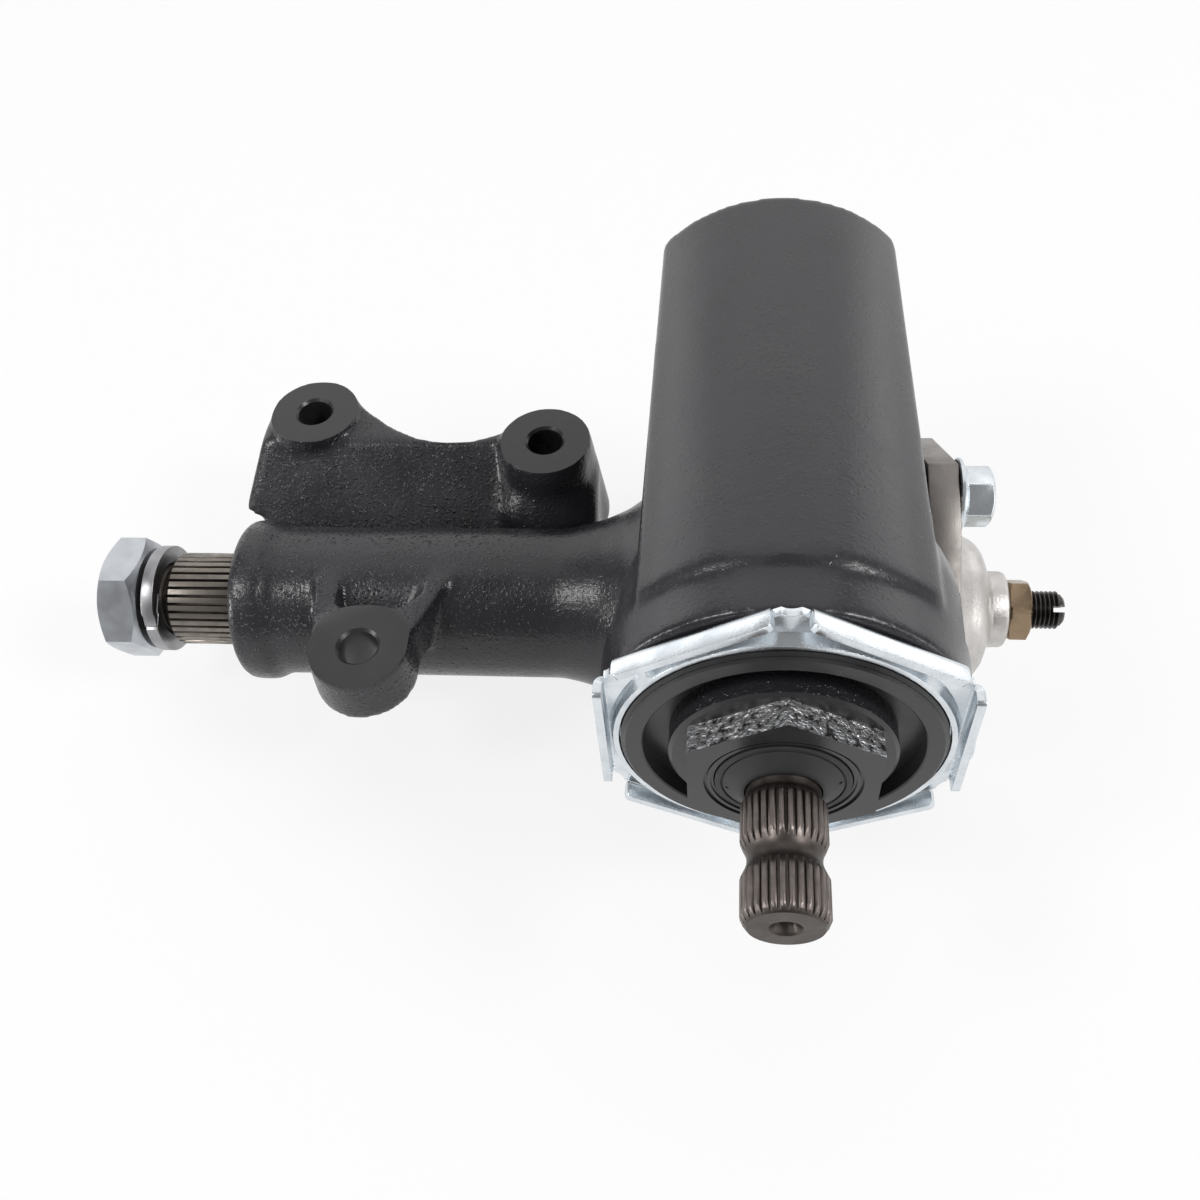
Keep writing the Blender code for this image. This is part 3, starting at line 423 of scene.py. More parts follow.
def threaded(low: float, high: float, crest: float, depth: float,
             pitch: float) -> list[tuple[float, float]]:
    """Profile of a threaded length as a row of ridges, from one height to another."""
    count = max(1, int(abs(high - low) / pitch))
    step = (high - low) / count
    spots = []
    for index in range(count):
        base = low + index * step
        spots += [(base, crest - depth), (base + 0.38 * step, crest),
                  (base + 0.62 * step, crest)]
    spots.append((high, crest - depth))
    return spots


def post(name: str, spindle: Spindle, heights: tuple[float, float], radius: float,
         end_radius: float | None = None, steps: int = 64) -> bpy.types.Object:
    """Make a round post or cone along a spindle.

    Args:
        name: name of the piece.
        spindle: axis of the post.
        heights: its two ends in millimetres.
        radius: radius at the first end in millimetres.
        end_radius: radius at the second end, where it differs.
        steps: number of points round it.

    Returns:
        The closed piece.
    """
    start, end = (spindle.point(height) for height in heights)
    run = end - start
    put_down()
    bpy.ops.mesh.primitive_cone_add(
        vertices=steps, radius1=radius * MM,
        radius2=(radius if end_radius is None else end_radius) * MM, depth=run.length,
        location=(start + end) / 2.0, rotation=UP.rotation_difference(run).to_euler())
    piece = bpy.context.object
    piece.name = name
    fix_place()
    return piece


def gather(piece: bpy.types.Object, others: Sequence[bpy.types.Object]) -> bpy.types.Object:
    """Make several closed shells one object, ready to be fused by a remesh."""
    put_down()
    for other in others:
        other.select_set(True)
    piece.select_set(True)
    bpy.context.view_layer.objects.active = piece
    bpy.ops.object.join()
    return piece


def spin_tool(tool: bpy.types.Object, angle: float, centre: Vector) -> None:
    """Turn a tool about a line along X through a point, by an angle in radians."""
    take_up(tool)
    bpy.ops.transform.rotate(value=angle, orient_axis="X", center_override=centre)
    fix_place()


def modify(piece: bpy.types.Object, kind: str, **settings: object) -> bpy.types.Object:
    """Put one modifier on a piece and apply it.

    Args:
        piece: piece to change.
        kind: type of the modifier.
        settings: its properties by name.

    Returns:
        The same piece.
    """
    take_up(piece)
    bpy.ops.object.modifier_add(type=kind)
    modifier = piece.modifiers[-1]
    for key, value in settings.items():
        setattr(modifier, key, value)
    bpy.ops.object.modifier_apply(modifier=modifier.name)
    return piece


def work(piece: bpy.types.Object, tool: bpy.types.Object, way: Machining,
         finish: bpy.types.Material | None = None) -> bpy.types.Object:
    """Join or cut a piece with another solid, which is used up.

    Args:
        piece: piece to work on.
        tool: solid that is joined to it or cuts it.
        way: what the tool does.
        finish: finish that the tool leaves, where it has one of its own.

    Returns:
        The same piece.
    """
    if finish is not None:
        dress(tool, finish)
    modify(piece, "BOOLEAN", operation=way.value, solver="EXACT", material_mode="TRANSFER",
           object=tool)
    bpy.data.objects.remove(tool)
    return piece


def soften(piece: bpy.types.Object, width: float, segments: int,
           angle: float) -> bpy.types.Object:
    """Break every edge sharper than an angle in degrees by a bevel in millimetres."""
    return modify(piece, "BEVEL", width=width * MM, segments=segments, limit_method="ANGLE",
                  angle_limit=math.radians(angle), use_clamp_overlap=True)


def shade(piece: bpy.types.Object, angle: float = 32.0) -> bpy.types.Object:
    """Shade a piece smooth except over edges sharper than an angle in degrees."""
    take_up(piece)
    bpy.ops.object.shade_smooth_by_angle(angle=math.radians(angle))
    put_down()
    return piece


def copy_node(frame: dict, node: str, name: str) -> bpy.types.Object:
    """Copy a solid node's skin and merge its loose triangles.

    Args:
        node: name of the node.
        name: name of the copy.

    Returns:
        The copy, which rides on nothing yet.
    """
    piece = bpy.data.objects.new(name, frame["nodes"][node].data.copy())
    bpy.context.scene.collection.objects.link(piece)
    open_mesh(piece)
    bpy.ops.mesh.select_all(action="SELECT")
    bpy.ops.mesh.remove_doubles(threshold=DOUBLES)
    put_down()
    piece.data.materials.clear()
    return piece


def dress(piece: bpy.types.Object, finish: bpy.types.Material) -> bpy.types.Object:
    """Give all faces of a piece one finish."""
    piece.data.materials.clear()
    piece.data.materials.append(finish)
    return piece


def hand_over(piece: bpy.types.Object, angle: float, body: str, node: str) -> bpy.types.Object:
    """Shade a finished piece and let it stand for a solid node.

    Args:
        piece: the finished piece.
        angle: edges sharper than this stay sharp, in degrees.
        body: moving body that carries it.
        node: solid node that it stands for.

    Returns:
        The same piece.
    """
    shade(piece, angle)
    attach(piece, body)
    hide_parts(node)
    return piece


class Graph:
    """Node tree of one material, with short calls that add and join nodes."""

    def __init__(self, name: str) -> None:
        """Start an empty tree with its output and its main shader."""
        self.material = bpy.data.materials.new(name)
        self.material.use_nodes = True
        self.tree = self.material.node_tree
        self.tree.nodes.clear()
        self.output = self.add("ShaderNodeOutputMaterial")
        self.shader = self.add("ShaderNodeBsdfPrincipled")
        self.link(self.shader.outputs["BSDF"], self.output.inputs["Surface"])
        self.object = self.add("ShaderNodeTexCoord").outputs["Object"]

    def add(self, kind: str, **settings: object) -> bpy.types.Node:
        """Add a node and set its properties."""
        node = self.tree.nodes.new(kind)
        for key, value in settings.items():
            setattr(node, key, value)
        return node

    def link(self, out: bpy.types.NodeSocket, into: bpy.types.NodeSocket) -> None:
        """Join two sockets."""
        self.tree.links.new(out, into)

    def feed(self, socket: bpy.types.NodeSocket, value: object) -> None:
        """Give a socket a number, a colour or another socket."""
        if isinstance(value, bpy.types.NodeSocket):
            self.link(value, socket)
        elif value is not None:
            socket.default_value = (*value, 1.0) if isinstance(value, tuple) else value

    def noise(self, size: float, detail: float = 2.0, roughness: float = 0.5,
              stretch: tuple[float, float, float] = (1.0, 1.0, 1.0)) -> bpy.types.NodeSocket:
        """Noise whose lumps are about a size in millimetres, stretched by axis."""
        mapping = self.add("ShaderNodeMapping")
        mapping.inputs["Scale"].default_value = tuple(1.0 / part for part in stretch)
        self.link(self.object, mapping.inputs["Vector"])
        node = self.add("ShaderNodeTexNoise")
        node.inputs["Scale"].default_value = 1.0 / (size * MM)
        node.inputs["Detail"].default_value = detail
        node.inputs["Roughness"].default_value = roughness
        self.link(mapping.outputs["Vector"], node.inputs["Vector"])
        return node.outputs["Fac"]

    def cells(self, size: float) -> bpy.types.NodeSocket:
        """Distance to the nearest of scattered points, a size in millimetres apart."""
        node = self.add("ShaderNodeTexVoronoi", feature="F1")
        node.inputs["Scale"].default_value = 1.0 / (size * MM)
        self.link(self.object, node.inputs["Vector"])
        return node.outputs["Distance"]

    def ramp(self, factor: bpy.types.NodeSocket, low: float, high: float, start: float,
             end: float) -> bpy.types.NodeSocket:
        """Map a factor's range to another range of numbers, held at both ends."""
        node = self.add("ShaderNodeMapRange", clamp=True)
        for key, value in (("Value", factor), ("From Min", low), ("From Max", high),
                           ("To Min", start), ("To Max", end)):
            self.feed(node.inputs[key], value)
        return node.outputs["Result"]

    def mix(self, factor: object, first: object, second: object) -> bpy.types.NodeSocket:
        """Blend two colours, given as sockets or as red, green and blue."""
        node = self.add("ShaderNodeMix", data_type="RGBA")
        self.feed(node.inputs["Factor"], factor)
        colours = [socket for socket in node.inputs if socket.type == "RGBA"]
        for socket, value in zip(colours, (first, second)):
            self.feed(socket, value)
        return [socket for socket in node.outputs if socket.type == "RGBA"][0]

    def calc(self, operation: str, first: object, second: object = None) -> bpy.types.NodeSocket:
        """Work out a number from one or two others."""
        node = self.add("ShaderNodeMath", operation=operation)
        self.feed(node.inputs[0], first)
        self.feed(node.inputs[1], second)
        return node.outputs[0]

    def bump(self, height: bpy.types.NodeSocket, depth: float, strength: float = 1.0,
             normal: bpy.types.NodeSocket | None = None) -> bpy.types.NodeSocket:
        """Raise the surface by a height whose full range is a depth in millimetres."""
        node = self.add("ShaderNodeBump")
        node.inputs["Strength"].default_value = strength
        node.inputs["Distance"].default_value = depth * MM
        self.link(height, node.inputs["Height"])
        self.feed(node.inputs["Normal"], normal)
        return node.outputs["Normal"]

    def place(self, axis: str) -> bpy.types.NodeSocket:
        """One coordinate of the surface point, in metres."""
        node = self.add("ShaderNodeSeparateXYZ")
        self.link(self.object, node.inputs[0])
        return node.outputs[axis]

    def radius_from(self, spindle: Spindle) -> bpy.types.NodeSocket:
        """Distance of the surface point from a spindle's axis, in millimetres."""
        mapping = self.add("ShaderNodeMapping")
        scale = tuple(0.0 if abs(part) > 0.5 else 1000.0 for part in spindle.along)
        mapping.inputs["Scale"].default_value = scale
        mapping.inputs["Location"].default_value = tuple(
            -place * size / 1000.0 for place, size in zip(spindle.origin, scale))
        self.link(self.object, mapping.inputs["Vector"])
        node = self.add("ShaderNodeVectorMath", operation="LENGTH")
        self.link(mapping.outputs["Vector"], node.inputs[0])
        return node.outputs["Value"]

    def finish(self, colour: object, roughness: object, metallic: object,
               normal: bpy.types.NodeSocket | None = None) -> bpy.types.Material:
        """Join everything to the shader.

        Args:
            colour: socket, or red, green and blue.
            roughness: socket or number.
            metallic: socket or number.
            normal: bent normal, where the surface has relief.

        Returns:
            The finished material.
        """
        for key, value in (("Base Color", colour), ("Roughness", roughness),
                           ("Metallic", metallic), ("Normal", normal)):
            self.feed(self.shader.inputs[key], value)
        return self.material


@dataclass(frozen=True)
class CastPaint:
    """Black satin paint over sand-cast iron, with the casting's grain showing through."""

    colour: tuple[float, float, float] = (0.0175, 0.0165, 0.0195)
    grain: float = 1.1
    relief: float = 0.20
    gloss: float = 0.27
    smooth_share: float = 0.38

    def build(self, name: str) -> bpy.types.Material:
        """Build the finish."""
        graph = Graph(name)
        rough = graph.ramp(graph.place("X"), 0.008, 0.026, 1.0, self.smooth_share)
        lumps = graph.calc("MULTIPLY", graph.noise(self.grain, 2.0, 0.6), rough)
        swell = graph.noise(self.grain * 5.0, 1.0, 0.4)
        dust = graph.noise(self.grain * 14.0, 3.0, 0.6)
        pits = graph.ramp(graph.cells(9.0), 0.0, 0.07, 0.0, 1.0)
        normal = graph.bump(swell, 0.2, 0.35)
        normal = graph.bump(pits, 0.12, 0.6, normal)
        normal = graph.bump(lumps, self.relief * 0.7, 1.0, normal)
        grit = graph.ramp(graph.noise(self.grain * 0.9, 1.0, 0.5), 0.58, 0.78, 0.0, 1.0)
        sown = graph.ramp(graph.place("X"), -0.035, 0.0, 1.0, 0.12)
        normal = graph.bump(graph.calc("MULTIPLY", grit, sown), self.relief * 1.7, 1.0, normal)
        tone = tuple(part * 1.35 for part in self.colour)
        colour = graph.mix(graph.ramp(dust, 0.35, 0.7, 0.0, 1.0), self.colour, tone)
        roughness = graph.ramp(dust, 0.3, 0.7, self.gloss - 0.05, self.gloss + 0.06)
        return graph.finish(colour, roughness, 0.0, normal)


@dataclass(frozen=True)
class Crust:
    """Shiny crinkled crust that the mould leaves on the hub's flats."""

    crest: tuple[float, float, float] = (0.52, 0.52, 0.53)
    crack: tuple[float, float, float] = (0.012, 0.012, 0.013)
    size: float = 1.5
    relief: float = 0.7

    def build(self, name: str) -> bpy.types.Material:
        """Build the finish."""
        graph = Graph(name)
        lumps = graph.noise(self.size, 3.0, 0.62, (1.5, 1.0, 0.8))
        worn = graph.ramp(lumps, 0.40, 0.60, 0.0, 1.0)
        colour = graph.mix(worn, self.crack, self.crest)
        metallic = graph.ramp(lumps, 0.40, 0.55, 0.1, 0.9)
        return graph.finish(colour, 0.30, metallic, graph.bump(lumps, self.relief))


@dataclass(frozen=True)
class MachinedPaint:
    """The same paint where it covers a milled or bored face."""

    colour: tuple[float, float, float] = (0.015, 0.015, 0.016)
    gloss: float = 0.30

    def build(self, name: str) -> bpy.types.Material:
        """Build the finish."""
        graph = Graph(name)
        fine = graph.noise(0.5, 2.0, 0.5)
        broad = graph.noise(9.0, 2.0, 0.5)
        normal = graph.bump(fine, 0.012)
        colour = graph.mix(graph.ramp(broad, 0.35, 0.7, 0.0, 1.0), self.colour,
                           tuple(part * 1.5 for part in self.colour))
        roughness = graph.ramp(broad, 0.3, 0.7, self.gloss - 0.04, self.gloss + 0.08)
        return graph.finish(colour, roughness, 0.0, normal)


@dataclass(frozen=True)
class Metal:
    """Bare or plated metal with faint rubbing, stains and a grain of its own."""

    colour: tuple[float, float, float]
    stain: tuple[float, float, float]
    gloss: float = 0.28
    grain: float = 0.6
    relief: float = 0.01
    patches: float = 7.0
    reach: float = 0.6
    brushed: tuple[float, float, float] = (1.0, 1.0, 14.0)

    def build(self, name: str) -> bpy.types.Material:
        """Build the finish."""
        graph = Graph(name)
        fine = graph.noise(self.grain, 3.0, 0.6)
        broad = graph.noise(self.patches, 3.0, 0.55)
        rubbed = graph.noise(self.grain, 2.0, 0.6, self.brushed)
        normal = graph.bump(rubbed, self.relief * 0.7)
        normal = graph.bump(fine, self.relief, 1.0, normal)
        colour = graph.mix(graph.ramp(broad, 0.4, 0.75, 0.0, self.reach), self.colour, self.stain)
        colour = graph.mix(graph.ramp(rubbed, 0.55, 0.75, 0.0, 0.25), colour, self.stain)
        roughness = graph.ramp(broad, 0.3, 0.7, self.gloss - 0.06, self.gloss + 0.08)
        return graph.finish(colour, roughness, 1.0, normal)


@dataclass(frozen=True)
class GapShadedSpline:
    """Bare steel with painted shade that darkens its spline gaps."""

    spindle: Spindle
    floor: float
    crest: float
    colour: tuple[float, float, float] = (0.30, 0.27, 0.25)
    # colour of the painted shade at the roots of the spline gaps
    gap_shade: tuple[float, float, float] = (0.055, 0.047, 0.042)

    def build(self, name: str) -> bpy.types.Material:
        """Build the finish."""
        graph = Graph(name)
        fine = graph.noise(0.45, 3.0, 0.6)
        broad = graph.noise(3.5, 3.0, 0.6)
        # painted shade: the colour darkens by radius from the crests down to the shade colour at the
        # roots
        depth = graph.ramp(graph.radius_from(self.spindle), self.floor, self.crest, 0.0, 1.0)
        worn = graph.mix(graph.ramp(broad, 0.4, 0.7, 0.0, 0.6), self.colour,
                         tuple(part * 0.55 for part in self.colour))
        colour = graph.mix(depth, self.gap_shade, worn)
        roughness = graph.ramp(broad, 0.3, 0.7, 0.34, 0.48)
        return graph.finish(colour, roughness, 1.0, graph.bump(fine, 0.015))


@dataclass(frozen=True)
class Matt:
    """Rubber, fibre or another dull material."""

    colour: tuple[float, float, float]
    gloss: float = 0.55
    grain: float = 0.5
    relief: float = 0.02

    def build(self, name: str) -> bpy.types.Material:
        """Build the finish."""
        graph = Graph(name)
        fine = graph.noise(self.grain, 2.0, 0.6)
        broad = graph.noise(self.grain * 12.0, 2.0, 0.5)
        colour = graph.mix(graph.ramp(broad, 0.3, 0.7, 0.0, 1.0), self.colour,
                           tuple(part * 1.4 for part in self.colour))
        roughness = graph.ramp(broad, 0.3, 0.7, self.gloss - 0.05, self.gloss + 0.1)
        return graph.finish(colour, roughness, 0.0, graph.bump(fine, self.relief))


class Finishes:
    """Every finish on the gearbox, built once."""

    def __init__(self) -> None:
        """Build the finishes."""
        self.paint = CastPaint().build("black_paint_on_casting")
        self.machined = MachinedPaint().build("black_paint_on_machined_iron")
        self.zinc = Metal(
            (0.73, 0.77, 0.80), (0.50, 0.54, 0.58), 0.25, relief=0.025).build("bright_zinc")
        self.dull_zinc = Metal(
            (0.54, 0.56, 0.59), (0.42, 0.44, 0.47), 0.34, relief=0.02).build("dull_zinc")
        self.spring_steel = Metal(
            (0.36, 0.36, 0.37), (0.26, 0.26, 0.27), 0.36, relief=0.02).build("spring_steel")
        self.oily = Metal(
            (0.30, 0.275, 0.25), (0.17, 0.14, 0.115), 0.34, relief=0.015).build("oily_steel")
        # The two splined ends get painted shade in their gaps.
        self.gap_shaded_input = GapShadedSpline(
            WORM, 8.5, 9.5, (0.200, 0.172, 0.160),
            (0.085, 0.073, 0.067)).build("oiled_input_spline")
        self.gap_shaded_output = GapShadedSpline(
            SECTOR, 13.0, 14.0, (0.25, 0.225, 0.20)).build("oiled_output_spline")
        self.scaly = CastPaint(
            grain=1.3, relief=0.75, gloss=0.22, smooth_share=1.0).build("scaly_black_hub")
        self.crust = Crust().build("crinkled_hub_crust")
        self.cut_aluminium = Metal(
            (0.27, 0.25, 0.235), (0.20, 0.185, 0.175), 0.46, 0.5, 0.03).build("cut_aluminium")
        self.steel = Metal((0.56, 0.55, 0.54), (0.42, 0.41, 0.40), 0.22).build("ground_steel")
        self.aluminium = Metal(
            (0.62, 0.60, 0.58), (0.44, 0.425, 0.41), 0.44, 0.8, 0.09, 5.0).build("cast_aluminium")
        self.bronze = Metal((0.30, 0.22, 0.145), (0.17, 0.12, 0.075), 0.24).build("bronze")
        self.black_steel = Metal(
            (0.085, 0.078, 0.076), (0.05, 0.045, 0.043), 0.34).build("blackened_steel")
        self.rubber = Matt((0.018, 0.018, 0.019)).build("seal_rubber")
        self.fibre = Matt((0.09, 0.08, 0.065), 0.8).build("gasket_fibre")

    def dress_node(self, node: bpy.types.Object) -> None:
        """Give a solid node that the scene carries over its finish."""
        looks = (("housing", self.paint), ("worm_bearing", self.machined),
                 ("lock_nut", self.zinc), ("seal", self.rubber), ("gasket", self.fibre),
                 ("bushing", self.bronze), ("jam_nut", self.bronze), ("worm_shaft", self.oily),
                 ("sector_shaft", self.oily), ("cover_bolt", self.zinc),
                 ("sector_cover", self.aluminium), ("filler", self.zinc),
                 ("lash_adjuster", self.black_steel), ("pitman", self.zinc))
        look = next((finish for part, finish in looks if part in node.name), self.steel)
        dress(node, look)
        shade(node)


@dataclass
class GearHousing:
    """The iron casting: worm barrel, sector tube, three bosses and the cover pad."""

    tube: float = 22.5
    arch: float = 44.6
    half_width: float = 34.0
    bottom: float = -37.0
    lower_chamfer: float = 6.0
    barrel: tuple[float, float] = (-21.5, -151.0)
    draft: float = 0.956
    voxel: float = 1.15
    smoothing: int = 12
    boss_spots: tuple[tuple[float, float, float], ...] = (
        (-147.4, 139.3, -60.0), (-70.3, 126.2, -60.0), (-114.8, 46.3, -41.8))
    boss_face: float = -27.3
    boss_radius: float = 14.3
    hole_radius: float = 5.5
    column_foot: tuple[float, float] = (-61.0, 18.4)
    pad: float = -40.2
    bolt_radius: float = 4.3

    def filled(self, frame: dict) -> bpy.types.Object:
        """Copy the solid casting and fill its bores, so that only its skin is left.


        Returns:
            The filled casting.
        """
        body = copy_node(frame, "housing", "gear_housing")
        work(body, self.slope_cutter(158.2, 178.0), Machining.REMOVE)
        right = self.slope_cutter(48.0, 74.5)
        work(right, self.column(14.0, -18.0), Machining.REMOVE)
        work(body, right, Machining.REMOVE)
        fills = [
            self.wall_end(), self.column(self.boss_radius, self.boss_face), self.wide_foot(),
            turned("mouth_fill", WORM, to_axis(
                (-7.4, 38.5), (-26.0, 38.5), (-30.0, 33.0), (-146.0, 32.0)), 64),
            prism("cavity_fill", (
                (-27.5, -34.0), (27.5, -34.0), (27.5, 24.0), (14.0, 37.0), (-14.0, 37.0),
                (-27.5, 24.0)), WORM, (-23.0, -112.0)),
            turned("sector_fill", SECTOR, to_axis(
                (158.9, 20.3), (28.0, 20.3), (26.0, 31.5), (-40.1, 31.5)), 64)]
        face = self.boss_face
        for x, y, foot in self.boss_spots:
            spindle = upright(x, y)
            fills.append(post("boss_fill", spindle, (face + 1.5, foot), self.hole_radius + 1.5))
            fills.append(post("boss_raise", spindle, (face + 1.6, face - 3.0), self.boss_radius))
        for spot in COVER_BOLTS:
            fills.append(post("bolt_fill", beside(SECTOR, *spot), (-26.0, self.pad + 0.1),
                              self.bolt_radius + 1.0))
        return gather(body, fills)

    def slope_cutter(self, start: float, end: float) -> bpy.types.Object:
        """Tool that runs the wall's slope on between two heights on the sector's axis."""
        return prism("slope_run_out", (
            (48.5, 24.0), (48.5, 20.2), (21.5, -6.0), (5.5, -6.0), (5.5, 24.0)),
            SECTOR, (start, end))

    def column(self, radius: float, top: float) -> bpy.types.Object:
        """Drafted column under the right-hand boss, with a radius at its top."""
        x, y, _ = self.boss_spots[1]
        foot, foot_radius = self.column_foot
        return post("boss_column", upright(x, y), (foot, top), foot_radius, radius, 72)

    def wide_foot(self) -> bpy.types.Object:
        """Foot that rounds the column into the wall's slope, cut off behind the wall."""
        x, y, _ = self.boss_spots[1]
        foot = turned("column_foot", upright(x, y - 1.0), to_axis(
            (-31.0, 11.0), (-45.0, 20.4), (-48.0, 21.4), (-61.0, 22.0)), 72)
        room = prism("foot_room", rectangle(-104.0, -54.0, 96.0, 128.0), upright(0.0, 0.0),
                     (-58.0, -30.0))
        return work(foot, room, Machining.KEEP)

    def wall_end(self) -> bpy.types.Object:
        """Drafted end of the wall between the bosses, wider at its foot."""
        end = prism("wall_end", (
            (-163.2, -29.6), (-169.6, -46.0), (-163.4, -46.8), (-163.4, -60.5),
            (-154.0, -60.5), (-154.0, -29.6)), WORM, (-102.0, -137.0))
        return work(end, self.slope_cutter(150.0, 178.0), Machining.REMOVE)

    def barrel_factor(self, angle: float) -> float:
        """Radius of the barrel's outline at an angle, against a radius of one millimetre."""
        across, rise = abs(math.cos(angle)), math.sin(angle)
        reach = [self.arch]
        if across > 1e-6:
            reach.append(self.half_width / across)
        if rise < -1e-6:
            reach.append(self.bottom / rise)
            reach.append((self.half_width - self.bottom - self.lower_chamfer) / (across - rise))
        return min(reach)

    def skins(self) -> list[bpy.types.Object]:
        """Round skins laid over the faceted solid: barrel, mouth, flare, tube and chamber."""
        front, back = self.barrel
        barrel = turned("barrel_skin", WORM, to_axis((front, 1.0), (back, 1.0)), 180)
        form_spokes(barrel, WORM, (back - 1.0, front + 1.0), self.barrel_factor)
        form_spokes(barrel, WORM, (back - 1.0, back + 1.0), lambda angle: self.draft)
        mouth = turned("mouth_skin", WORM, to_axis(
            (-7.3, 43.0), (-20.0, 43.0), (-26.0, 42.2), (-34.0, 40.4), (-44.0, 37.8),
            (-60.0, 33.4)), 128)
        flare = turned("cover_side_flare", beside(WORM, 1.5, 0.0), to_axis(
            (-9.0, 41.5), (-20.0, 42.0), (-34.0, 42.2), (-40.0, 41.2), (-46.0, 39.5),
            (-52.0, 37.2), (-60.0, 34.6), (-70.0, 32.5), (-78.0, 31.0)), 128)
        tube = turned("tube_skin", SECTOR, to_axis(
            (159.4, 23.4), (157.5, 24.6), (150.0, 24.6), (148.0, self.tube + 0.1),
            (62.0, self.tube + 0.1), (56.0, 23.8), (49.0, 25.8), (42.0, 28.9), (35.0, 34.2),
            (28.0, 34.2)))
        chamber = turned("chamber_skin", SECTOR, to_axis((32.0, 38.6), (self.pad, 38.6)), 128)
        return [barrel, mouth, flare, tube, chamber]

    def cast(self, frame: dict) -> bpy.types.Object:
        """Weld the skins to the filled solid and round all its edges as sand casting does."""
        body = gather(self.filled(frame), self.skins())
        modify(body, "REMESH", mode="VOXEL", voxel_size=self.voxel * MM)
        return modify(body, "SMOOTH", factor=0.5, iterations=self.smoothing)

    def machine(self, body: bpy.types.Object, finishes: Finishes) -> bpy.types.Object:
        """Mill the faces and bore the holes of the casting."""
        dress(body, finishes.paint)
        faces = [
            turned("worm_bore", WORM, to_axis(
                (0.0, 46.0), (-7.3, 46.0), (-7.3, 37.9), (-7.9, 37.4), (-25.0, 37.4),
                (-25.2, 26.0), (-134.2, 26.0), (-134.2, 20.0), (-144.5, 20.0))),
            prism("pad_mill", rectangle(-60.0, 80.0, -80.0, 80.0), SECTOR, (self.pad, -48.0))]
        holes = [turned("sector_bore", SECTOR, to_axis(
            (166.0, 26.0), (159.0, 26.0), (159.0, 19.6), (158.3, 19.0), (150.7, 19.0),
            (150.7, 16.5), (22.0, 16.5), (22.0, 30.3), (-39.8, 30.3), (self.pad, 30.7),
            (-44.0, 30.7)))]
        face, hole = self.boss_face, self.hole_radius
        for x, y, _ in self.boss_spots:
            faces.append(post("boss_mill", upright(x, y), (face + 6.0, face),
                              self.boss_radius + 2.2))
            holes.append(turned("boss_drill", upright(x, y), to_axis(
                (-19.0, hole + 0.8), (face, hole + 0.8), (face - 0.8, hole), (-70.0, hole)), 64))
        for spot in COVER_BOLTS:
            holes.append(post("bolt_drill", beside(SECTOR, *spot), (-27.0, -44.0),
                              self.bolt_radius))
        for tools in (faces, holes):
            work(body, gather(tools[0], tools[1:]), Machining.REMOVE, finishes.machined)
        return body

    def build(self, frame: dict, finishes: Finishes) -> bpy.types.Object:
        """Make the whole housing and let it stand for the solid one."""
        body = self.machine(self.cast(frame), finishes)
        return hand_over(body, 40.0, "case", "housing")


@dataclass
class BearingAdjuster:
    """Threaded plug in the barrel's mouth, with its counterbore and hexagonal hub."""

    thread: float = 37.1
    pitch: float = 1.5
    ring: float = 32.0
    collar: float = 26.0
    hub: float = 43.0
    hub_front: float = 8.5
    seat: float = 17.8
    shaft_hole: float = 10.2

    def build(self, finishes: Finishes) -> bpy.types.Object:
        """Turn the plug, weld on the scaly hub and bore the seal's seat."""
        ring, collar, body, hole = self.ring, self.collar, self.thread - 0.2, self.shaft_hole
        profile = [
            (-5.0, ring), (-0.35, ring), (0.0, ring + 0.35), (0.0, 35.9), (-0.5, 36.4),
            *threaded(-0.9, -9.9, self.thread, 0.75, self.pitch), (-10.4, body), (-22.0, body),
            (-22.0, 19.8), (-4.7, 19.8), (-4.7, hole), (2.0, hole), (2.0, collar - 0.8),
            (1.2, collar), (-5.0, collar)]
        plug = turned("bearing_adjuster_plug", WORM, profile + profile[:1], 128)
        dress(plug, finishes.machined)
        top, seat = self.hub_front, self.seat
        hub = prism("plug_hub", hexagon(self.hub, math.pi / 2.0), WORM, (1.0, top + 0.4))
        soften(hub, 0.35, 2, 50.0)
        work(plug, hub, Machining.WELD, finishes.machined)
        bore = turned("seal_seat", WORM, to_axis(
            (top + 1.0, seat), (top - 0.7, seat), (top - 0.7, seat - 0.7),
            (top - 0.3, seat - 0.7), (top - 0.3, seat - 1.5), (top - 0.7, seat - 1.5),
            (top - 0.7, 15.6), (-1.0, 15.6), (-1.0, hole), (-6.0, hole)), 128)
        work(plug, bore, Machining.REMOVE, finishes.machined)
        skim = turned("hub_skim", WORM, to_axis((top + 3.0, 30.0), (top, 30.0)), 64)
        work(plug, skim, Machining.REMOVE, finishes.machined)
        self.leave_scale(plug, finishes)
        return hand_over(plug, 30.0, "case", "worm_bearing_adjuster")

    def leave_scale(self, plug: bpy.types.Object, finishes: Finishes) -> None:
        """Leave the casting's scale on the collar's rim and its crust on the hub's flats."""
        plug.data.materials.append(finishes.scaly)
        plug.data.materials.append(finishes.crust)
        crust = len(plug.data.materials) - 1
        for face in plug.data.polygons:
            height, radius, _ = WORM.read(face.center)
            sideways = abs(face.normal.dot(WORM.direction())) < 0.6
            if sideways and -4.5 < height and self.hub / 2.0 - 1.0 < radius < self.collar + 0.5:
                face.material_index = crust if radius < self.collar - 0.8 else crust - 1


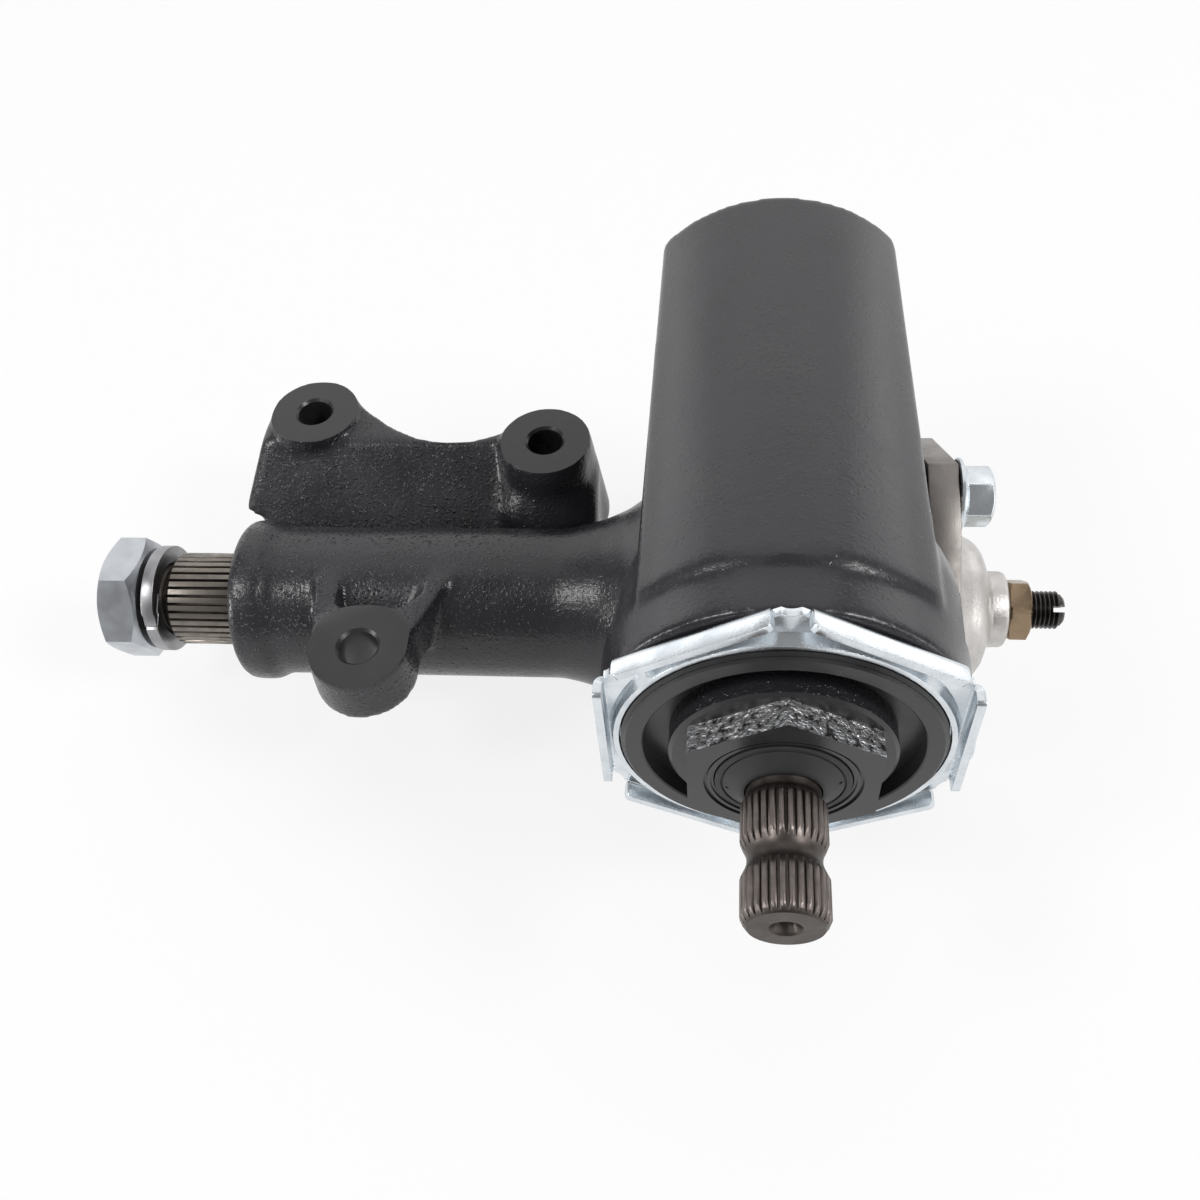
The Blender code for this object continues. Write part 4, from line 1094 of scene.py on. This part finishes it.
@dataclass
class LockNut:
    """Pressed sheet nut: a hexagonal plate whose six sides are folded forward."""

    hole: float = 37.5
    apothem: float = 41.3
    plate: float = -6.0
    rim: float = -1.0
    fold: float = 1.7
    fold_steps: int = 5
    collar: float = -2.5
    sheet: float = 2.0
    tongue: float = 46.2
    tongue_half_angle: float = 5.6
    corner_turn: float = math.pi / 2.0

    def hex_factor(self, angle: float) -> float:
        """Reach of a hexagon at an angle, against the reach of its flats."""
        turn = (angle - self.corner_turn) % (math.pi / 3.0) - math.pi / 6.0
        return 1.0 / math.cos(turn)

    def near_corner(self, spot: Vector) -> bool:
        """Tell whether a point lies on a tongue, close to a corner's spoke."""
        angle = WORM.read(spot)[2]
        turn = (angle - self.corner_turn + math.pi / 6.0) % (math.pi / 3.0) - math.pi / 6.0
        return abs(math.degrees(turn)) < self.tongue_half_angle

    def edges(self, piece: bpy.types.Object, corner: bool, reach: float) -> None:
        """Select the outline's edges, at the corners or between them.

        Args:
            piece: the sheet in edit mode.
            corner: whether the edges at the corners are wanted, or the others.
            reach: radius in millimetres outside which the outline lies.
        """
        sheet = bmesh.from_edit_mesh(piece.data)
        for item in list(sheet.verts) + list(sheet.edges) + list(sheet.faces):
            item.select = False
        bpy.ops.mesh.select_mode(type="EDGE")
        for edge in sheet.edges:
            middle = (edge.verts[0].co + edge.verts[1].co) / 2.0
            outer = all(WORM.read(vertex.co)[1] > reach for vertex in edge.verts)
            if edge.is_boundary and outer and self.near_corner(middle) == corner:
                edge.select_set(True)
        bmesh.update_edit_mesh(piece.data)

    def draw_rings(self, start: tuple[float, float], rings: Profile) -> None:
        """Draw the selected edges on through rings given by height and radius.

        Args:
            start: height and radius that the edges have now, in millimetres.
            rings: heights and radii in millimetres.
        """
        height, reach = start
        for new_height, new_reach in rings:
            draw_out(WORM.direction() * (new_height - height) * MM, new_reach / reach,
                     WORM.point(new_height))
            height, reach = new_height, new_reach

    def sheet_form(self) -> bpy.types.Object:
        """Draw the plate with its raised collar, its tongues and its folded sides."""
        start = self.apothem - self.fold
        put_down()
        bpy.ops.mesh.primitive_circle_add(
            vertices=72, radius=self.hole * MM, location=WORM.point(self.collar),
            rotation=WORM.facing(self.corner_turn).to_euler())
        nut = bpy.context.object
        nut.name = "lock_nut"
        fix_place()
        open_mesh(nut)
        bpy.ops.mesh.select_all(action="SELECT")
        self.draw_rings((self.collar, self.hole), (
            (self.collar, self.hole + 0.5), (-5.6, start - 0.8), (self.plate, start)))
        put_down()
        form_spokes(nut, WORM, (self.plate - 0.1, self.plate + 0.1), self.hex_factor)
        open_mesh(nut)
        self.edges(nut, True, start - 0.2)
        draw_out(Vector(), self.tongue / (start * 2.0 / math.sqrt(3.0)), WORM.point(self.plate))
        self.edges(nut, False, start - 0.2)
        bends = [math.pi / 2.0 * step / self.fold_steps for step in range(1, self.fold_steps + 1)]
        self.draw_rings((self.plate, start), [
            (self.plate + self.fold * (1.0 - math.cos(bend)), start + self.fold * math.sin(bend))
            for bend in bends])
        draw_out(WORM.direction() * (self.rim - self.plate - self.fold) * MM)
        bpy.ops.mesh.select_all(action="SELECT")
        bpy.ops.mesh.remove_doubles(threshold=DOUBLES)
        self.trim_corners(nut)
        put_down()
        return nut

    def build(self, finishes: Finishes) -> bpy.types.Object:
        """Thicken the folded sheet, punch its tongues and round its edges."""
        nut = modify(self.sheet_form(), "SOLIDIFY", thickness=self.sheet * MM, offset=0.0,
                     use_even_offset=True)
        punches = [self.punch(self.corner_turn + step * math.pi / 3.0) for step in range(6)]
        work(nut, gather(punches[0], punches[1:]), Machining.REMOVE)
        soften(nut, 0.38, 3, 50.0)
        open_mesh(nut)
        close_mesh(nut)
        dress(nut, finishes.zinc)
        return hand_over(nut, 45.0, "case", "adjuster_lock_nut")

    def punch(self, angle: float) -> bpy.types.Object:
        """Round punch that hollows the tip of the tongue at an angle."""
        return post("tongue_punch", off_axis(WORM, self.tongue + 2.5, angle),
                    (self.plate - 3.0, 1.5), 4.3, steps=40)

    def trim_corners(self, nut: bpy.types.Object) -> None:
        """Round the free corners of the folded sides and of the tongues."""
        sheet = bmesh.from_edit_mesh(nut.data)
        bpy.ops.mesh.select_mode(type="VERT")
        for vertex in sheet.verts:
            height, radius, _ = WORM.read(vertex.co)
            free = len(vertex.link_edges) == 2 and all(
                edge.is_boundary for edge in vertex.link_edges)
            rim = height > self.rim - 0.05
            tip = radius > self.tongue - 0.6 and height < self.plate + 0.05
            vertex.select = free and (rim or tip)
        sheet.select_flush_mode()
        bmesh.update_edit_mesh(nut.data)
        bpy.ops.mesh.bevel(offset=1.3 * MM, segments=3, affect="VERTICES")


@dataclass
class InputSeal:
    """Pressed seal around the input shaft: steel case, dished face and rubber lip."""

    outer: float = 15.3
    front: float = 8.4
    slot_reach: float = 12.6
    slot_turns: tuple[float, float] = (8.0, 188.0)

    def build(self, finishes: Finishes) -> bpy.types.Object:
        """Turn the seal and stamp its two small slots."""
        profile = [
            (11.0, 8.75), (11.05, 9.3), (10.8, 9.9), (10.2, 10.7), (9.3, 12.0), (8.7, 13.0),
            (8.45, 13.5), (8.05, 13.6), (8.05, 13.9), (8.45, 14.0), (8.45, 14.9),
            (8.2, self.outer), (-0.7, self.outer), (-0.7, 9.8), (6.6, 9.8), (8.2, 8.75)]
        seal = turned("input_lip_seal", WORM, profile + profile[:1])
        dress(seal, finishes.rubber)
        for turn in self.slot_turns:
            slot = post("case_slot", off_axis(WORM, self.slot_reach, math.radians(turn)),
                        (self.front - 0.5, self.front + 2.5), 0.45, steps=16)
            work(seal, slot, Machining.REMOVE, finishes.rubber)
        return hand_over(seal, 30.0, "case", "input_seal")


def toothed_end(end: bpy.types.Object, teeth: bpy.types.Object,
                sleeve: bpy.types.Object) -> bpy.types.Object:
    """Cut spline teeth on a turned shaft end.

    Args:
        end: the turned end.
        teeth: toothed bar that leaves the teeth standing.
        sleeve: wide bar that keeps the plain length as it is.

    Returns:
        The splined end.
    """
    work(teeth, sleeve, Machining.WELD)
    return work(end, teeth, Machining.KEEP)


@dataclass
class InputShaft:
    """Worm shaft, whose input end has two splined lengths and a clamp groove."""

    tip: float = 42.6
    spline: float = 9.65
    root: float = 8.62
    teeth: int = 30
    joint: float = 3.0

    def build(self, frame: dict, finishes: Finishes) -> bpy.types.Object:
        """Cut the splined end and set it on the solid worm behind it."""
        crest = self.spline
        end = turned("splined_end", WORM, (
            (0.0, 0.0), (0.0, 9.45), (5.9, 9.45), (6.2, 8.4), (12.6, 8.4), (13.2, 8.5),
            (14.9, crest - 0.05), (15.4, crest), (23.2, crest), (24.6, 9.1), (25.6, 8.6),
            (26.6, 8.25), (27.7, 8.15), (28.8, 8.25), (29.9, 8.6), (31.0, 9.1), (32.2, crest),
            (40.4, crest), (41.6, 9.1), (self.tip, 8.3), (self.tip, 3.7), (41.9, 3.1),
            (40.0, 2.4), (36.6, 0.0)), 120)
        teeth = toothed_bar("spline_cutter", WORM, self.teeth, self.root, 10.4, (13.0, 45.0),
                            0.34)
        sleeve = turned("plain_part", WORM, to_axis((-4.0, 12.0), (14.6, 12.0)), 48)
        toothed_end(end, teeth, sleeve)
        shaft = copy_node(frame, "worm_shaft", "input_and_worm_shaft")
        front = turned("front_trim", WORM, to_axis((self.joint, 14.0), (50.0, 14.0)), 48)
        work(shaft, front, Machining.REMOVE)
        back = turned("back_trim", WORM, to_axis((-3.0, 14.0), (self.joint - 0.01, 14.0)), 48)
        work(end, back, Machining.REMOVE)
        gather(shaft, [end])
        dress(shaft, finishes.gap_shaded_input)
        return hand_over(shaft, 28.0, "worm", "worm_shaft")


@dataclass
class OutputShaft:
    """Sector shaft with its splined output end and the thread for the nut."""

    tip: float = 201.5
    thread: float = 11.05
    spline: float = 14.2
    root: float = 13.05
    teeth: int = 36
    joint: float = 150.0

    def build(self, frame: dict, finishes: Finishes) -> bpy.types.Object:
        """Cut the splined and threaded end and set it on the solid shaft behind it."""
        profile = [
            (self.joint, 0.0), (self.joint, 14.1), (160.2, 14.1), (160.8, 13.6), (161.6, 13.6),
            (162.4, self.spline), (181.2, self.spline), (182.3, 13.2), (182.6, 10.2),
            (184.6, 10.2), *threaded(185.0, 200.3, self.thread, 0.85, 1.5), (200.8, 10.0),
            (self.tip, 9.6), (self.tip, 3.0), (199.5, 0.0)]
        end = turned("splined_output", SECTOR, profile, 144)
        teeth = toothed_bar("output_cutter", SECTOR, self.teeth, self.root, 17.0,
                            (161.0, 206.0), 0.38)
        sleeve = turned("plain_part", SECTOR, to_axis((140.0, 17.0), (161.7, 17.0)), 48)
        toothed_end(end, teeth, sleeve)
        shaft = copy_node(frame, "sector_shaft", "output_sector_shaft")
        trim = turned("end_trim", SECTOR, to_axis((self.joint, 18.0), (210.0, 18.0)), 48)
        work(shaft, trim, Machining.REMOVE)
        gather(shaft, [end])
        dress(shaft, finishes.gap_shaded_output)
        return hand_over(shaft, 28.0, "sector", "sector_shaft")


@dataclass
class OutputFasteners:
    """Spring washer and big hexagonal nut on the output thread."""

    nut_flats: float = 33.3
    nut_turn: float = math.radians(52.5)
    nut_ends: tuple[float, float] = (190.7, 202.9)
    nut_relief: float = 12.6
    washer: tuple[float, float] = (11.5, 16.4)
    washer_faces: tuple[float, float] = (184.9, 188.6)
    split_turn: float = math.radians(148.0)
    spring: float = 0.22

    def nut(self, finishes: Finishes) -> bpy.types.Object:
        """Cut the nut, turn its corners off and tap it."""
        nut = hex_bar("output_nut", SECTOR, self.nut_flats, self.nut_turn, self.nut_ends)
        low, high = self.nut_ends
        relief = self.nut_relief
        tap = to_axis((low - 1.0, relief), (low, relief),
                      *threaded(low + 1.0, high - 1.0, 12.1, 0.75, 1.5), (high, relief),
                      (high + 1.0, relief))
        work(nut, turned("nut_tap", SECTOR, tap), Machining.REMOVE)
        soften(nut, 0.22, 2, 50.0)
        dress(nut, finishes.dull_zinc)
        return hand_over(nut, 30.0, "sector", "pitman_nut")

    def spring_washer(self, finishes: Finishes) -> bpy.types.Object:
        """Turn the washer, saw it through and spring its ends apart."""
        inner, outer = self.washer
        low, high = self.washer_faces
        profile = [(low, inner), (low, outer), (high, outer), (high, inner), (low, inner)]
        ring = turned("spring_washer", SECTOR, profile, 128)
        work(ring, self.saw(), Machining.REMOVE)
        soften(ring, 0.45, 3, 50.0)
        for vertex in ring.data.vertices:
            turn = (SECTOR.read(vertex.co)[2] - self.split_turn) % (2.0 * math.pi)
            vertex.co += SECTOR.direction() * (turn / math.pi - 1.0) * self.spring * MM
        dress(ring, finishes.spring_steel)
        return hand_over(ring, 30.0, "sector", "pitman_lock_washer")

    def saw(self) -> bpy.types.Object:
        """Thin blade that stands across the washer at its split."""
        low, high = self.washer_faces
        blade = prism("washer_saw", rectangle(-0.35, 0.35, -6.0, 6.0), SECTOR,
                      (low - 2.0, high + 2.0))
        spin_tool(blade, self.split_turn + math.pi / 2.0, SECTOR.point(0.0))
        corners = blade.data.vertices
        middle = sum((corner.co for corner in corners), Vector()) / len(corners)
        spot = SECTOR.point((low + high) / 2.0, sum(self.washer) / 2.0, self.split_turn)
        blade.location = spot - middle
        fix_place()
        return blade

    def build(self, finishes: Finishes) -> list[bpy.types.Object]:
        """Make the nut and the washer."""
        return [self.nut(finishes), self.spring_washer(finishes)]


@dataclass
class SideCover:
    """Aluminium cover on the gear chamber, with its bolts and the lash adjuster."""

    outline: tuple[tuple[float, float], ...] = (
        (-35.0, 12.0), (1.5, 37.7), (17.6, 43.0), (55.0, 15.5), (47.0, -24.0), (28.0, -40.0),
        (-24.0, -40.0), (-40.0, -24.0))
    inner: float = 41.5
    outer: float = 50.0
    filler: tuple[float, float] = (0.0, -32.4)
    boss: float = 11.1
    boss_end: float = 67.3
    bolt_flats: float = 15.0
    jam_flats: float = 16.4
    jam_ends: tuple[float, float] = (-67.6, -74.2)
    slot_turn: float = math.radians(55.0)

    def cover(self, finishes: Finishes) -> bpy.types.Object:
        """Cut the plate, weld on the turned dome and bore the cover."""
        plate = prism("side_cover", self.outline, SECTOR, (-self.inner, -self.outer))
        soften(plate, 0.5, 2, 30.0)
        dress(plate, finishes.cut_aluminium)
        end, boss = -self.boss_end, self.boss
        dome = turned("cover_dome", SECTOR, to_axis(
            (end, boss - 1.3), (end + 0.5, boss - 0.4), (end + 1.4, boss), (-62.4, boss + 0.1),
            (-61.6, 11.9), (-61.1, 13.2), (-60.5, 15.2), (-59.6, 17.4), (-58.3, 19.2),
            (-56.8, 20.4), (-55.2, 21.2), (-54.2, 21.9), (-53.2, 22.9), (-52.0, 23.9),
            (-50.9, 25.2), (-50.3, 26.6), (-49.95, 28.6), (-45.0, 28.6)), 128)
        work(plate, dome, Machining.WELD, finishes.aluminium)
        bore = turned("cover_bore", SECTOR, to_axis(
            (-40.0, 16.5), (-56.0, 16.5), (-57.4, 14.5), (-57.5, 5.8), (-65.7, 5.8),
            (-66.5, 6.6), (-70.0, 6.6)))
        holes = [post("bolt_hole", beside(SECTOR, *spot), (-38.0, -70.0), 4.3)
                 for spot in COVER_BOLTS]
        holes.append(post("filler_hole", beside(SECTOR, *self.filler), (-38.0, -54.0), 5.1))
        work(plate, gather(bore, holes), Machining.REMOVE, finishes.cut_aluminium)
        return hand_over(plate, 30.0, "case", "sector_cover")

    def bolt(self, number: int, finishes: Finishes) -> bpy.types.Object:
        """Make one flanged bolt: hexagonal head, washer face and shank."""
        spindle = beside(SECTOR, *COVER_BOLTS[number - 1])
        seat = -self.outer - 0.3
        flange = turned(f"flange_bolt_{number}", spindle, to_axis(
            (seat - 2.6, 8.2), (seat - 2.1, 9.0), (seat - 1.3, 10.6), (seat - 0.9, 10.9),
            (seat - 0.3, 10.9), (seat, 10.5), (seat, 3.95), (-28.6, 3.95), (-28.0, 3.3)))
        head = hex_bar("bolt_head", spindle, self.bolt_flats, math.radians(49.5),
                       (seat - 2.0, seat - 9.9), (False, True), 0.9)
        soften(head, 0.3, 2, 40.0)
        work(flange, head, Machining.WELD)
        dish = turned("head_dish", spindle, to_axis(
            (seat - 10.5, 5.0), (seat - 9.5, 4.2)), 64)
        work(flange, dish, Machining.REMOVE)
        dress(flange, finishes.zinc)
        return hand_over(flange, 30.0, "case", f"cover_bolt_{number}")

    def filler_screw(self, finishes: Finishes) -> bpy.types.Object:
        """Make the hexagonal filler plug."""
        spindle = beside(SECTOR, *self.filler)
        screw = turned("filler_screw", spindle, to_axis(
            (-52.4, 4.8), (-50.4, 4.8), *threaded(-50.0, -44.0, 4.8, 0.5, 1.0),
            (-43.5, 4.0)), 64)
        head = hex_bar("filler_head", spindle, 12.7, 0.0, (-50.3, -55.3), (False, True))
        soften(head, 0.25, 2, 40.0)
        work(screw, head, Machining.WELD)
        dress(screw, finishes.zinc)
        return hand_over(screw, 30.0, "case", "filler_plug")

    def jam_nut(self, finishes: Finishes) -> bpy.types.Object:
        """Cut the jam nut that locks the adjusting screw."""
        low, high = self.jam_ends
        nut = hex_bar("adjuster_jam_nut", SECTOR, self.jam_flats, math.radians(15.0),
                      self.jam_ends, crown=0.92)
        tap = turned("jam_tap", SECTOR, to_axis(
            (-66.0, 6.9), (low, 6.9), *threaded(low - 1.0, high + 1.0, 6.4, 0.5, 1.25),
            (high, 6.9), (-75.0, 6.9)), 64)
        work(nut, tap, Machining.REMOVE)
        soften(nut, 0.2, 2, 50.0)
        dress(nut, finishes.bronze)
        return hand_over(nut, 30.0, "case", "lash_jam_nut")

    def adjusting_screw(self, finishes: Finishes) -> bpy.types.Object:
        """Turn the threaded adjusting screw with its T-head and saw its slot."""
        screw = turned("adjusting_screw", SECTOR, to_axis(
            (-84.0, 3.7), (-83.2, 4.6), *threaded(-82.6, -58.6, 5.5, 0.75, 1.25),
            (-58.0, 5.3), (-50.8, 5.3), (-50.8, 7.9), (-47.2, 7.9)), 72)
        slot = prism("screw_slot", rectangle(-8.0, 8.0, -0.8, 0.8), SECTOR, (-80.4, -86.0))
        spin_tool(slot, self.slot_turn, SECTOR.point(-83.0))
        work(screw, slot, Machining.REMOVE)
        dress(screw, finishes.black_steel)
        return hand_over(screw, 30.0, "lash_screw", "lash_adjuster")

    def build(self, finishes: Finishes) -> list[bpy.types.Object]:
        """Make the cover and everything on it."""
        return [self.cover(finishes), *(self.bolt(number, finishes) for number in (1, 2, 3)),
                self.filler_screw(finishes), self.jam_nut(finishes),
                self.adjusting_screw(finishes)]


@dataclass(frozen=True)
class Studio:
    """Pale floor, white backdrop, soft lamps and the photograph's viewpoint.

    The stand is in millimetres. Each lamp has a place and a width in metres and a power.
    """

    stand: tuple[float, float, float] = (46.41, -203.43, 335.87)
    yaw: float = 9.58
    pitch: float = 52.08
    roll: float = -6.81
    lens: float = 37.07
    aim: tuple[float, float, float] = (0.0, 0.0, 0.06)
    room_light: float = 0.27
    lamps: tuple[tuple[str, tuple[float, float, float], float, float], ...] = (
        ("lamp_left", (-0.9, -0.5, 1.3), 0.35, 8.0),
        ("lamp_right", (1.0, -0.35, 1.1), 0.35, 9.0),
        ("lamp_back", (0.0, 0.9, 1.4), 1.8, 8.0),
        ("lamp_back_left", (-1.18, 0.93, 0.60), 0.9, 1.9),
        ("lamp_back_right", (1.25, 0.93, 0.64), 0.9, 2.3),
        ("lamp_low_left", (-1.25, -0.45, 0.30), 0.35, 6.5),
        ("lamp_low_right", (1.25, -0.45, 0.30), 0.5, 2.6))

    def camera(self) -> None:
        """Set the camera at the photograph's viewpoint."""
        yaw, pitch, roll = (math.radians(part) for part in (self.yaw, self.pitch, self.roll))
        ahead = Vector((-math.sin(yaw) * math.cos(pitch), math.cos(yaw) * math.cos(pitch),
                        -math.sin(pitch)))
        level = Vector((math.cos(yaw), math.sin(yaw), 0.0))
        above = level.cross(ahead)
        right = level * math.cos(roll) + above * math.sin(roll)
        top = above * math.cos(roll) - level * math.sin(roll)
        data = bpy.data.cameras.new("studio_camera")
        data.lens = self.lens
        data.sensor_width = 36.0
        data.clip_start = 0.01
        camera = bpy.data.objects.new("studio_camera", data)
        bpy.context.scene.collection.objects.link(camera)
        matrix = Matrix((right, top, -ahead)).transposed().to_4x4()
        matrix.translation = Vector(self.stand) * MM
        camera.matrix_world = matrix
        bpy.context.scene.camera = camera

    def pale(self, name: str, level: float, glow: float) -> bpy.types.Material:
        """A pale sheet that reads as white to the camera and keeps a soft shadow.

        Args:
            name: name of the material.
            level: grey of the sheet under the lamps.
            glow: share of plain white that the camera and mirrors see.

        Returns:
            The material.
        """
        graph = Graph(name)
        graph.finish((level, level, level), 0.9, 0.0)
        white = graph.add("ShaderNodeEmission")
        path = graph.add("ShaderNodeLightPath")
        seen = graph.calc("MAXIMUM", path.outputs["Is Camera Ray"], graph.calc(
            "MAXIMUM", path.outputs["Is Glossy Ray"], path.outputs["Is Transmission Ray"]))
        blend = graph.add("ShaderNodeMixShader")
        graph.link(graph.calc("MULTIPLY", seen, glow), blend.inputs["Fac"])
        graph.link(graph.shader.outputs["BSDF"], blend.inputs[1])
        graph.link(white.outputs["Emission"], blend.inputs[2])
        graph.link(blend.outputs["Shader"], graph.output.inputs["Surface"])
        return graph.material

    def sheet(self, name: str, size: tuple[float, float], place: Vector, tilt: float,
              look: bpy.types.Material) -> None:
        """Lay or stand a sheet of the studio.

        Args:
            name: name of the sheet.
            size: its width and depth in metres.
            place: its middle in metres.
            tilt: how far it is raised from lying flat, in degrees.
            look: its material.
        """
        put_down()
        bpy.ops.mesh.primitive_plane_add(size=1.0, location=place,
                                         rotation=(math.radians(tilt), 0.0, 0.0))
        piece = bpy.context.object
        piece.name = name
        piece.scale = (size[0], size[1], 1.0)
        fix_place()
        dress(piece, look)

    def lamp(self, name: str, place: tuple[float, float, float], size: float,
             power: float) -> None:
        """Hang a square lamp that faces the gearbox."""
        data = bpy.data.lights.new(name, "AREA")
        data.size = size
        data.energy = power
        item = bpy.data.objects.new(name, data)
        bpy.context.scene.collection.objects.link(item)
        item.location = Vector(place)
        ray = Vector(self.aim) - item.location
        item.rotation_euler = ray.to_track_quat("-Z", "Y").to_euler()

    def room(self) -> bpy.types.World:
        """Dim white room that the camera sees as plain white."""
        world = bpy.data.worlds.new("studio_room")
        world.use_nodes = True
        tree = world.node_tree
        dim = tree.nodes["Background"]
        dim.inputs["Strength"].default_value = self.room_light
        white = tree.nodes.new("ShaderNodeBackground")
        for light in (dim, white):
            light.inputs["Color"].default_value = (1.0, 1.0, 1.0, 1.0)
        path = tree.nodes.new("ShaderNodeLightPath")
        blend = tree.nodes.new("ShaderNodeMixShader")
        tree.links.new(path.outputs["Is Camera Ray"], blend.inputs["Fac"])
        tree.links.new(dim.outputs["Background"], blend.inputs[1])
        tree.links.new(white.outputs["Background"], blend.inputs[2])
        tree.links.new(blend.outputs["Shader"], tree.nodes["World Output"].inputs["Surface"])
        return world

    def build(self) -> None:
        """Set up the whole studio."""
        scene = bpy.context.scene
        scene.view_settings.view_transform = "Standard"
        scene.world = self.room()
        self.sheet("studio_floor", (8.0, 8.0), Vector((0.0, 0.0, -0.0005)), 0.0,
                   self.pale("floor_paper", 0.85, 0.82))
        self.sheet("studio_backdrop", (7.0, 1.35), Vector((0.0, 1.4, 0.675)), 90.0,
                   self.pale("backdrop_paper", 0.85, 0.95))
        for lamp in self.lamps:
            self.lamp(*lamp)
        self.camera()


def main() -> None:
    """Build the studio and the gearbox; the solid nodes stay in the scene, hidden."""
    logging.basicConfig(level=logging.INFO, format="%(name)s: %(message)s")
    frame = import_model()
    finishes = Finishes()
    Studio().build()
    for node in frame["nodes"].values():
        finishes.dress_node(node)
    pieces = [GearHousing().build(frame, finishes), BearingAdjuster().build(finishes),
              LockNut().build(finishes), InputSeal().build(finishes),
              InputShaft().build(frame, finishes), OutputShaft().build(frame, finishes)]
    pieces += OutputFasteners().build(finishes) + SideCover().build(finishes)
    for piece in pieces:
        LOG.info("%s: %d faces", piece.name, len(piece.data.polygons))


if __name__ == "__main__":
    main()
